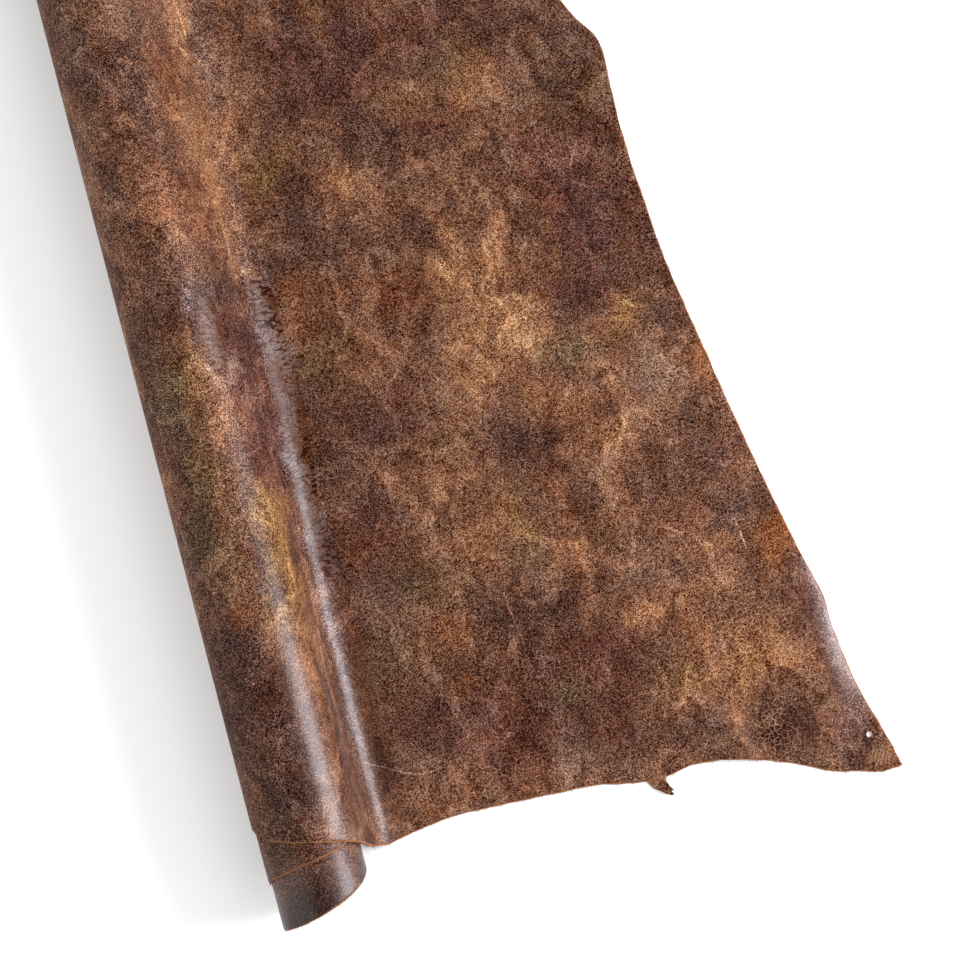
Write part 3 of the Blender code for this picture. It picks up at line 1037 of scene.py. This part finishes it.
CRUMPLES = (  # from the roll's axis, along, reach across, reach along, turn
    (0.085, 0.040, 0.011, 0.04, 0),
    (0.0865, -0.015, 0.012, 0.04, 0),
    (0.0865, -0.060, 0.012, 0.04, 3),
    (0.081, -0.115, 0.011, 0.045, 4),
    (0.077, -0.190, 0.009, 0.05, 3),
    (0.0345, 0.022, 0.011, 0.045, 0),
)


def pebbled(across, along):
    """How far the grain shows as pebbles: most where the hide was boarded."""
    u, v = seen_across(across, along), along
    spots = sum(much * spot(u, v, *place) for *place, much in PEBBLES)
    return np.clip(PEBBLED_ALL_OVER + spots, 0, 1)


def waxed(across, along):
    """How much wax is left on the grain."""
    u, v = seen_across(across, along), along
    u = u + 0.006 * clouds(across, along, 0.020, 61.0, 2)
    v = v + 0.010 * clouds(across, along, 0.020, 62.0, 2)
    left = np.full(across.shape, RUBBED)
    for *place, much in WAX:
        left = np.maximum(left, much * spot(u, v, *place))
    return left


def crumpled(across, along):
    """How far the leather crumpled where it was bent."""
    u, v = seen_across(across, along), along
    return np.clip(1.2 * sum(spot(u, v, *row) for row in CRUMPLES), 0, 1)


# %% One table for every point
UNDERSIDE = (*seen(170, 132, 98), 0)


def for_all_points(on_grain, on_flesh):
    """Values for the grain side's points, then the same one for each point of the flesh side."""
    rest = np.zeros((len(points) - len(on_grain), *on_grain.shape[1:])) + on_flesh
    return np.concatenate([on_grain, rest])


dye_and_pebbles = np.column_stack([dyed, pebbled(across, along).ravel()])
PAINT = {
    "dye": for_all_points(dye_and_pebbles, UNDERSIDE),
    "wax": for_all_points(waxed(across, along).ravel(), 0),
    "creased": for_all_points(crumpled(across, along).ravel(), 0),
}
for name, values in PAINT.items():
    print(name, "from", np.round(values.min(0), 2), "to", np.round(values.max(0), 2))

# %% [markdown]
# ## The grain
#
# Close up, the top coat is cracked into specks less than a millimetre wide, each its own shade, with
# a net of fine pale threads over them. Wisps, curls and streaks with one crisp side lie on top, where
# the coat was rubbed through. There are also pebbles, creases, and a few old scars and scratches.
#
# All this is too fine for the mesh, so it is drawn in the material, on the pattern's map. A Voronoi
# texture gives the specks, and the distance to its cells' borders gives the cracks between pebbles.
# The rest is noise. A noise alone has round blobs, so the places where it is read are pushed about by
# another one first, which turns the blobs into lobes and curls. Every form is a number, and their sum
# makes the dye lighter or darker: its red least and its blue most, so that the light specks are paler
# and the dark ones redder, as they are on a hide whose coat is dull and whose dye is warm.

# %% Textures on the pattern
CELL = 0.00075
PEBBLE = 0.0052


class Grain(Shader):
    """The grain side's material: its textures, and what the points carry. Sizes are in metres."""

    def __init__(self, name):
        super().__init__(name)
        flat = self.node("ShaderNodeUVMap", {"uv_map": UV_NAME})["UV"]
        self.place = self.vector("SCALE", flat, Scale=PATTERN_SIZE)
        dye = self.attribute("dye")
        self.dye, self.pebbled = dye["Color"], dye["Alpha"]
        self.red = self.red_of(self.dye)
        self.wax = self.attribute("wax")["Fac"]
        self.creased = self.attribute("creased")["Fac"].between(0.3, 0.6)
        self.patchy = self.hills(0.080, 2.0, self.swirled(0.060, 0.040, 5.0)).between(0.40, 0.58)
        self.pushed = self.swirled(0.0033, 0.0016, 0.0)
        self.speck = self.red_of(self.cells(CELL, self.pushed)["Color"])

    def hills(self, size, detail, at=None, out="Fac"):
        inputs = {"Vector": at or self.place, "Scale": 1 / size, "Detail": detail}
        return self.node("ShaderNodeTexNoise", {"noise_dimensions": "2D"}, inputs)[out]

    def cells(self, size, at, feature="F1"):
        settings = {"voronoi_dimensions": "2D", "feature": feature}
        return self.node("ShaderNodeTexVoronoi", settings, {"Vector": at, "Scale": 1 / size})

    def red_of(self, colour):
        return self.node("ShaderNodeSeparateColor", None, {0: colour})["Red"]

    def swirled(self, size, reach, seed):
        """Places pushed about by clouds, so that what lies there turns into lobes and curls."""
        start = self.vector("ADD", self.place, (seed, seed * 0.7, 0))
        push = self.hills(size, 2.0, start, "Color")
        return self.vector("MULTIPLY_ADD", push, (reach, reach, 0), start)

    def stretched(self, size, reach, seed):
        """The same, and drawn out along the hide, as a rubbing hand goes."""
        return self.vector("MULTIPLY", self.swirled(size, reach, seed), (1, 0.5, 1))


# %% Lines and feathers, out of a noise
def line(value, width):
    """1 where a noise crosses its middle, 0 away from there: thin curls."""
    return 1 - (value - 0.5).math("ABSOLUTE").between(0, width)


def feather(value, width):
    """A streak with one crisp side, which fades on the other."""
    return value.between(0.5, 0.51) * (1 - value.between(0.51, 0.51 + width))


# %% Creases, specks, threads and pebbles
def creases(skin):
    """Short wrinkles across the bend, where the leather crumpled: their lines darken the colour as painted
    shade and sink the bump.
    """
    folds = skin.vector("MULTIPLY", skin.swirled(0.012, 0.008, 11.0), (1, 3.2, 1))
    return line(skin.hills(0.019, 2.0, folds), 0.08) * skin.creased * (skin.patchy * 0.6 + 0.4)


def fine_forms(skin):
    """Specks, threads and pebbles: above 0 where they are lighter than the dye."""
    threads = line(skin.hills(0.012, 2.0, skin.swirled(0.020, 0.030, 7.0)), 0.030)
    threads = threads * skin.hills(0.030, 2.0).between(0.42, 0.60)
    specks = ((skin.speck - 0.5) * 1.65 + threads * 0.35) * (1 - skin.wax * 0.45) * (1 - skin.creased * 0.6)
    border = skin.cells(PEBBLE, skin.pushed, "DISTANCE_TO_EDGE")["Distance"]
    crack = 1 - border.between(0.0, 0.14)
    forms = specks * (1 - skin.pebbled * 0.4) + (crack * 1.1 - 0.30) * skin.pebbled
    return forms * (skin.red.math("MAXIMUM", 0.3).math("POWER", -1.0) * 0.34 + 0.25)


# %% Scars and scratches
SCARS = (  # width, strength, then the corners of the line, across and along
    (0.0009, 0.65, (0.068, -0.423), (0.104, -0.4435), (0.1235, -0.4495), (0.1445, -0.448)),
    (0.0018, 0.45, (0.0650, 0.360), (0.0700, 0.336), (0.0720, 0.317)),
    (0.0020, 0.45, (0.430, 0.123), (0.417, 0.100), (0.4175, 0.085), (0.430, 0.076), (0.4435, 0.075)),
    (0.0010, 0.9, (0.488, -0.280), (0.493, -0.312)),
    (0.0009, 0.7, (0.2465, -0.2945), (0.253, -0.348)),
)


def scar(skin, at, width, corners):
    """1 on the line through the corners, 0 further away than its width."""
    away = None
    for a, b in zip(corners, corners[1:]):
        way = Vector(b) - Vector(a)
        here = skin.vector("SUBTRACT", at, (a[0] - PATTERN_FROM[0], a[1] - PATTERN_FROM[1], 0))
        pace = {0: here, 1: (*(way / way.length_squared), 0)}
        gone = skin.node("ShaderNodeVectorMath", {"operation": "DOT_PRODUCT"}, pace)["Value"]
        gone = gone.math("MAXIMUM", 0).math("MINIMUM", 1)
        rest = skin.vector("MULTIPLY_ADD", gone, (-way.x, -way.y, 0), here)
        far = skin.node("ShaderNodeVectorMath", {"operation": "LENGTH"}, {0: rest})["Value"]
        away = away.math("MINIMUM", far) if away else far
    return 1 - away.between(width * 0.3, width)


def scars(skin):
    """All the scars and scratches, on places that waver a little."""
    waver = skin.hills(0.012, 2.0, out="Color")
    at = skin.vector("MULTIPLY_ADD", waver, (0.004, 0.004, 0), skin.place)
    return sum(scar(skin, at, width, corners) * strength for width, strength, *corners in SCARS)


# %% Wisps, curls and streaks
def broad_forms(skin):
    """Wisps, curls, streaks and scars: above 0 where the top coat was rubbed through."""
    wisps = line(skin.hills(0.060, 1.5, skin.swirled(0.045, 0.070, 3.0)), 0.030)
    curls = line(skin.hills(0.035, 1.5, skin.swirled(0.030, 0.045, 4.0)), 0.025)
    feathers = feather(skin.hills(0.10, 2.5, skin.stretched(0.070, 0.070, 13.0)), 0.10)
    finer = feather(skin.hills(0.055, 2.5, skin.stretched(0.040, 0.050, 17.0)), 0.10)
    shades = feather(skin.hills(0.080, 2.5, skin.stretched(0.060, 0.060, 19.0)), 0.12)
    lobes = skin.hills(0.040, 3.0, skin.swirled(0.050, 0.060, 9.0)).between(0.47, 0.56)
    rubbed = (wisps * 0.25 + curls * 0.20) * skin.patchy * (1.3 - skin.red * 1.2)
    streaks = (feathers + finer * 0.8) * 0.26 - shades * 0.20 - lobes * 0.10
    return (rubbed + streaks + scars(skin)) * (1 - skin.creased * 0.7)


# %% Crackled leather
TONE = (0.925, 0.905, 0.87)  # how much of the dye's red, green and blue is left where no form lies
FINE_TONE = (0.80, 1.3, 1.75)  # how much a fine form changes each of them
BROAD_TONE = (0.86, 1.12, 1.2)
LEAST_SHARE = 0.03
LEAST_LIGHT = 0.0006


def crackled_leather():
    skin = Grain("crackled leather")
    wrinkles_and_shade = creases(skin)
    # the wrinkles' lines are darkened in the colour as painted shade, and also sunk into the bump
    share = skin.vector("MULTIPLY_ADD", fine_forms(skin) - wrinkles_and_shade * 0.7, FINE_TONE, TONE)
    share = skin.vector("MULTIPLY_ADD", broad_forms(skin), BROAD_TONE, share)
    grained = skin.vector("MULTIPLY", skin.dye, skin.vector("MAXIMUM", share, (LEAST_SHARE,) * 3))
    lit = skin.node("ShaderNodeGamma", None, {"Color": grained, "Gamma": GAMMA})["Color"]
    lit = skin.vector("MAXIMUM", skin.vector("SUBTRACT", lit, SHEEN), (LEAST_LIGHT,) * 3)
    return skin.finish(
        Base_Color=skin.vector("SCALE", lit, Scale=1 / LIT),
        Roughness=0.6,
        Normal=skin.bump(skin.speck * 0.4 - wrinkles_and_shade * 2.0, 0.1, 0.0002),
        Specular_IOR_Level=0.02,
        Coat_Weight=skin.wax * (0.75 + skin.speck * 0.25),
        Coat_Roughness=0.3,
    )


# %% The cut edge and the flesh side
def cut_edge():
    shader = Shader("cut edge")
    base = shader.mix(shader.cloud(900.0, 3.0), colour(124, 74, 47), colour(190, 130, 84))
    return shader.finish(Base_Color=base, Roughness=0.8, Specular_IOR_Level=0.1)


def flesh_suede():
    shader = Shader("flesh suede")
    nap, cloud = shader.cloud(500.0, 4.0), shader.cloud(14.0, 3.0)
    base = shader.mix(nap * 0.6 + cloud * 0.4, colour(112, 78, 55), colour(186, 148, 112))
    bump = shader.bump(nap, 0.6, 0.0005)
    return shader.finish(Base_Color=base, Roughness=0.95, Normal=bump, Specular_IOR_Level=0.2)


for material in (crackled_leather(), cut_edge(), flesh_suede()):
    hide.data.materials.append(material)
    print(material.name, "has", len(material.node_tree.nodes), "nodes")

# %% [markdown]
# ## The hole, the tag and the tooth marks
#
# The tip was pinned out to dry: a hole where it hung, and a row of dents beside it where a toggle bit
# the wet skin. On the rear margin a forked scrap hangs by its root, where a knife missed it. Such
# details could be drawn in a texture, but light falls into a real hole. So each is a small closed
# solid first, which a Boolean then takes away from the hide, or joins to it. Every solid has the
# hide's own three materials, so each new face keeps its own.


# %% Joining and cutting
def solid(name, points, faces, finishes, places=None):
    """A closed mesh with the hide's materials and a map; `places` are across and along."""
    mesh = bpy.data.meshes.new(name)
    mesh.from_pydata([tuple(p) for p in points], [], faces)
    mesh.polygons.foreach_set("material_index", finishes)
    for material in hide.data.materials:
        mesh.materials.append(material)
    layer = mesh.uv_layers.new(name=UV_NAME)
    for loop in mesh.loops:
        at = places[loop.vertex_index] if places else HOLE_AT
        layer.uv[loop.index].vector = [(at[k] - PATTERN_FROM[k]) / PATTERN_SIZE for k in (0, 1)]
    thing = bpy.data.objects.new(name, mesh)
    bpy.context.collection.objects.link(thing)
    return thing


def with_changes(thing):
    """A new plain mesh: what the thing's modifiers make of its own."""
    changed = thing.evaluated_get(bpy.context.evaluated_depsgraph_get())
    return bpy.data.meshes.new_from_object(changed)


def join_or_cut(thing, other, operation):
    """Replaces thing's mesh by its union or difference with another, which is used up."""
    change = thing.modifiers.new(operation.title(), "BOOLEAN")
    change.operation, change.object, change.solver = operation, other, "MANIFOLD"
    made = with_changes(thing)
    thing.modifiers.remove(change)
    thing.data = made
    bpy.data.objects.remove(other)
    print(operation.lower(), "leaves", len(made.vertices), "points")


def surface(across, along):
    """Places on the grain side, in metres from the object's own origin."""
    return lay(np.atleast_1d(across), np.atleast_1d(along))[0]


# %% The torn tag
TEAR_STEP = 0.0012
TEAR_SIZE = 0.004
TEAR_DEPTH = 0.0008
TEAR_SEED = 5


def ragged(outline, seed):
    """The outline with a point every step, pushed in and out by noise."""
    points = []
    for a, b in zip(outline, outline[1:]):
        a, b = Vector(a), Vector(b)
        count = max(1, round((b - a).length / TEAR_STEP))
        points += [a.lerp(b, k / count) for k in range(count)]
    pushes = [noise.noise_vector(Vector((*(p / TEAR_SIZE), seed))).to_2d() for p in points]
    return [p + TEAR_DEPTH * push for p, push in zip(points, pushes)]


def torn_tag():
    outline = ragged(TORN_TAG, 41.0)
    root, far = TORN_TAG[0][1], min(along for _, along in TORN_TAG)
    count = len(outline)
    points = []
    for side in (1, -1):
        for across, along in outline:
            out = (along - root) / (far - root)
            ruffle = noise.noise(Vector((across / 0.006, along / 0.006, 7)))
            curl = TAG_CURL * out**2 + 0.0008 * out * ruffle
            height = THICKNESS / 2 + side * TAG_THICKNESS / 2 * (1 - 0.4 * out) + curl
            points.append((ROLL_X + across, along, height))
    top = [list(t) for t in tessellate_polygon([[p.to_3d() for p in outline]])]
    turned = (outline[top[0][1]] - outline[top[0][0]]).cross(outline[top[0][2]] - outline[top[0][0]])
    top = [t[::-1] for t in top] if turned < 0 else top
    faces = top + [[i + count for i in reversed(t)] for t in top]
    finishes = [GRAIN] * len(top) + [FLESH] * len(top)
    area = sum(a.cross(b) for a, b in zip(outline, outline[1:] + outline[:1]))
    for k in range(count):
        n = (k + 1) % count
        faces.append([k, k + count, n + count, n] if area > 0 else [k, n, n + count, k + count])
        finishes.append(EDGE)
    return solid("torn tag", points, faces, finishes, list(outline) * 2)


noise.seed_set(TEAR_SEED)  # or else vector noise starts from the clock, and each tag differs
join_or_cut(hide, torn_tag(), "UNION")


# %% The hole
def punch(sides=28):
    """A slightly uneven rod through the leather at the hole."""
    middle = surface(*HOLE_AT)[0]
    ring = []
    for k in range(sides):
        angle = 2 * pi * k / sides
        reach = HOLE_RADIUS * (1 + 0.06 * noise.noise(Vector((2 * cos(angle), 2 * sin(angle), 3))))
        ring.append((middle[0] + reach * cos(angle), middle[1] + reach * sin(angle)))
    points = [(x, y, middle[2] + up) for up in (0.01, -0.02) for x, y in ring]
    faces = [list(range(sides)), [sides + k for k in reversed(range(sides))]]
    for k in range(sides):
        n = (k + 1) % sides
        faces.append([k, k + sides, n + sides, n])
    return solid("punch", points, faces, [EDGE] * len(faces))


join_or_cut(hide, punch(), "DIFFERENCE")

# %% [markdown]
# ## The tooth marks, grown along paths
#
# Six dents lie side by side, up to two centimetres long and about two millimetres wide, where the
# ridged jaws of the toggle held the skin. Each is made by a thin tube along a line on the grain side.
# Geometry Nodes make the tubes: a small circle follows the line, and its ends are filled, because a
# Boolean needs closed solids. The lower half of each tube bites into the hide.


# %% Trees with named sizes
class Growth(Graph):
    """A Geometry Nodes tree with a geometry input and output and one input for each size."""

    def __init__(self, name, sizes):
        super().__init__(bpy.data.node_groups.new(name, "GeometryNodeTree"))
        sockets = self.tree.interface
        sockets.new_socket("Geometry", in_out="INPUT", socket_type="NodeSocketGeometry")
        for size, value in sizes.items():
            kind = "NodeSocketInt" if isinstance(value, int) else "NodeSocketFloat"
            sockets.new_socket(size, in_out="INPUT", socket_type=kind).default_value = value
        sockets.new_socket("Geometry", in_out="OUTPUT", socket_type="NodeSocketGeometry")
        self.given = self.node("NodeGroupInput")

    def real(self, made):
        return self.node("GeometryNodeRealizeInstances", None, {"Geometry": made})["Geometry"]

    def ended(self, made, material):
        finish = {"Geometry": made, "Material": material}
        finished = self.node("GeometryNodeSetMaterial", None, finish)["Geometry"]
        self.node("NodeGroupOutput", None, {"Geometry": finished})
        return self.tree


def grown(thing, tree, sizes, name):
    """Runs a tree on a thing and returns the result as a plain mesh object of its own."""
    change = thing.modifiers.new(tree.name, "NODES")
    change.node_group = tree
    for socket in tree.interface.items_tree:
        if socket.in_out == "INPUT" and socket.name in sizes:
            change[socket.identifier] = sizes[socket.name]
    thing.update_tag()
    made = with_changes(thing)
    bpy.data.objects.remove(thing)
    made.name = name
    piece = bpy.data.objects.new(name, made)
    bpy.context.collection.objects.link(piece)
    print(name, "has", len(made.vertices), "points")
    return piece


# %% The tooth marks
MARK_COUNT = 6
MARK_PITCH = 0.0036
MARK_LENGTH = 0.019
MARK_TURN = radians(62)
MARKS = {"Radius": 0.0011}


def tooth_paths():
    """One line on the grain side for each tooth."""
    paths = bpy.data.curves.new("teeth", "CURVE")
    paths.dimensions = "3D"
    for k in range(MARK_COUNT):
        beside = (k - (MARK_COUNT - 1) / 2) * MARK_PITCH
        steps = np.linspace(-0.5, 0.5, 9) * MARK_LENGTH * (0.8 + 0.2 * cos(k * 2.1))
        across = TOOTH_MARKS[0] + steps * cos(MARK_TURN) + beside * sin(MARK_TURN)
        along = TOOTH_MARKS[1] + steps * sin(MARK_TURN) - beside * cos(MARK_TURN)
        spline = paths.splines.new("POLY")
        spline.points.add(len(steps) - 1)
        for point, place in zip(spline.points, surface(across, along)):
            point.co = (*place, 1)
    return paths


def tooth_tree(sizes):
    """A tube round each line, five-sided and closed."""
    tree = Growth("teeth", sizes)
    ring = {"Resolution": 5, "Radius": tree.given["Radius"]}
    profile = tree.node("GeometryNodeCurvePrimitiveCircle", None, ring)["Curve"]
    shape = {"Curve": tree.given["Geometry"], "Profile Curve": profile, "Fill Caps": True}
    tubes = tree.node("GeometryNodeCurveToMesh", None, shape)["Mesh"]
    return tree.ended(tree.real(tubes), hide.data.materials[GRAIN])


lines = bpy.data.objects.new("teeth", tooth_paths())
bpy.context.collection.objects.link(lines)
teeth = grown(lines, tooth_tree(MARKS), MARKS, "teeth")
tubes = [list(face.vertices) for face in teeth.data.polygons]
bite = solid("bite", [tuple(v.co) for v in teeth.data.vertices], tubes, [GRAIN] * len(tubes))
bpy.data.objects.remove(teeth)
join_or_cut(hide, bite, "DIFFERENCE")

# %% [markdown]
# ## The paint goes on
#
# The Booleans changed the mesh, so only now does each point get its dye, pebbles, wax and crumples,
# from the nearest point that the net had. A tree of points finds the nearest one quickly.

# %% The paint, by the nearest point
nearest = KDTree(len(points))
for k, point in enumerate(points):
    nearest.insert(point, k)
nearest.balance()
like = [nearest.find(v.co)[1] for v in hide.data.vertices]
for name, values in PAINT.items():
    kind, field = ("FLOAT_COLOR", "color") if values.ndim == 2 else ("FLOAT", "value")
    layer = hide.data.attributes.new(name, kind, "POINT")
    layer.data.foreach_set(field, values[like].ravel())

# %% Smooth leather, sharp edges
SHARP = radians(40)

hide.data.shade_smooth()
hide.data.set_sharp_from_angle(angle=SHARP)
hide.data.update()
hide.data.calc_loop_triangles()
print("the hide has", len(hide.data.loop_triangles), "triangles")

# %% [markdown]
# ## Loose fibres
#
# Leather is a felt of fibres, and a knife leaves their ends standing out of the cut. They follow the
# margins, so Geometry Nodes grow them: the margin becomes a curve with a point every millimetre, and
# on some of the points stands a thin bent hair, turned outwards and a little at random. Which way is
# outwards is worked out here, from the net, and travels with the points as an attribute.


# %% The margins as lines
def margin_lines():
    """The middle of the cut on the rear, right and neck margins, with the way outwards."""
    middle = (grain + flesh) / 2
    chains = [
        (middle[1:-1, 0], middle[1:-1, 1]),
        (middle[-1, 1:-1], middle[-2, 1:-1]),
        (middle[1:-1, -1], middle[1:-1, -2]),
    ]
    places, outwards, edges = [], [], []
    for edge, inside in chains:
        out = edge - inside
        first = len(places)
        places += edge.tolist()
        outwards += (out / np.linalg.norm(out, axis=1)[:, None]).tolist()
        edges += [(k, k + 1) for k in range(first, len(places) - 1)]
    mesh = bpy.data.meshes.new("margins")
    mesh.from_pydata(places, edges, [])
    stored = mesh.attributes.new("outwards", "FLOAT_VECTOR", "POINT")
    stored.data.foreach_set("vector", np.array(outwards).ravel())
    return mesh


# %% The hairs
FIBRES = {
    "Step": 0.0011,  # from one point of the margin to the next
    "Share": 1.0,  # more of the points get a hair where this is higher
    "Length": 0.0048,  # of the longest hair
    "Thickness": 0.06,  # the root's radius, as a share of the length
    "Seed": 6,
}
BOW = 0.35  # how far a hair bends aside, also as a share of its length
ABOVE_FLOOR = 0.0002  # no hair goes lower


def loose_fibre():
    shader = Shader("loose fibre")
    mottled = shader.cloud(150.0, 2.0).between(0.35, 0.65)
    base = shader.mix(mottled, colour(96, 60, 42), colour(150, 98, 64))
    return shader.finish(Base_Color=base, Roughness=0.7, Specular_IOR_Level=0.2)


class Fibres(Growth):
    """Hairs on the points of a line, turned to its outwards attribute."""

    def random(self, low, high, seed):
        """A number or a vector between two others, another one at each point."""
        kind, first = ("FLOAT_VECTOR", 0) if isinstance(low, tuple) else ("FLOAT", 2)
        inputs = {first: low, first + 1: high, "Seed": self.given["Seed"] + seed}
        return self.node("FunctionNodeRandomValue", {"data_type": kind}, inputs)["Value"]

    def position(self):
        return self.node("GeometryNodeInputPosition")["Position"]

    def axes(self, place):
        return self.node("ShaderNodeSeparateXYZ", None, {0: place})

    def spaced(self):
        """The line with a point at every step."""
        margin = self.node("GeometryNodeMeshToCurve", None, {"Mesh": self.given["Geometry"]})["Curve"]
        spacing = {"Curve": margin, "Length": self.given["Step"]}
        return self.node("GeometryNodeResampleCurve", {"mode": "LENGTH"}, spacing)["Curve"]

    def turned(self):
        """Outwards, a little at random, and spun about the hair's own length."""
        outwards = {"Name": "outwards"}
        way = self.node("GeometryNodeInputNamedAttribute", {"data_type": "FLOAT_VECTOR"}, outwards)
        way = self.vector("ADD", way["Attribute"], self.random((-0.8, -0.8, 0.0), (0.8, 0.8, 0.9), 1))
        aimed = self.node("FunctionNodeAlignRotationToVector", {"axis": "Z"}, {"Vector": way})
        spin = {"Axis": (0, 0, 1), "Angle": self.random(0.0, 2 * pi, 2)}
        spin = self.node("FunctionNodeAxisAngleToRotation", None, spin)["Rotation"]
        both = {0: aimed["Rotation"], 1: spin}
        return self.node("FunctionNodeRotateRotation", {"rotation_space": "LOCAL"}, both)["Rotation"]

    def chosen(self):
        """True at some of the points, in tufts."""
        tufts = {"Vector": self.position(), "Scale": 60.0, "Detail": 1.0}
        chance = self.node("ShaderNodeTexNoise", None, tufts)["Fac"] * self.given["Share"]
        below = {"data_type": "FLOAT", "operation": "LESS_THAN"}
        return self.node("FunctionNodeCompare", below, {0: self.random(0.0, 1.0, 3), 1: chance})["Result"]

    def hair(self):
        """One thin cone, one metre long, bent to the side."""
        cone = {"Vertices": 3, "Side Segments": 3, "Radius Top": 0.0, "Depth": 1.0}
        cone["Radius Bottom"] = self.given["Thickness"]
        cone = self.node("GeometryNodeMeshCone", None, cone)["Mesh"]
        up = self.axes(self.position())["Z"]
        bow = self.node("ShaderNodeCombineXYZ", None, {0: up * up * BOW})["Vector"]
        return self.node("GeometryNodeSetPosition", None, {"Geometry": cone, "Offset": bow})["Geometry"]

    def above_floor(self, hairs):
        """The same hairs, with no point lower than it may be."""
        at = self.axes(self.position())
        place = {"X": at["X"], "Y": at["Y"], "Z": at["Z"].math("MAXIMUM", ABOVE_FLOOR)}
        place = self.node("ShaderNodeCombineXYZ", None, place)["Vector"]
        moved = {"Geometry": hairs, "Position": place}
        return self.node("GeometryNodeSetPosition", None, moved)["Geometry"]


# %% Hairs on the margins
def fibre_tree(sizes):
    tree = Fibres("fibres", sizes)
    stand = {
        "Points": tree.spaced(),
        "Rotation": tree.turned(),
        "Selection": tree.chosen(),
        "Scale": tree.random(0.3, 1.0, 4) * tree.given["Length"],
        "Instance": tree.hair(),
    }
    hairs = tree.node("GeometryNodeInstanceOnPoints", None, stand)["Instances"]
    return tree.ended(tree.above_floor(tree.real(hairs)), loose_fibre())


margins = bpy.data.objects.new("margins", margin_lines())
bpy.context.collection.objects.link(margins)
fibres = grown(margins, fibre_tree(FIBRES), FIBRES, "loose_fibres")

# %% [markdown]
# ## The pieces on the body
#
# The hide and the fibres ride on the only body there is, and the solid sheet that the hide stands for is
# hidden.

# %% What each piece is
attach(hide, "root")
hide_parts("leather")
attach(fibres, "root")
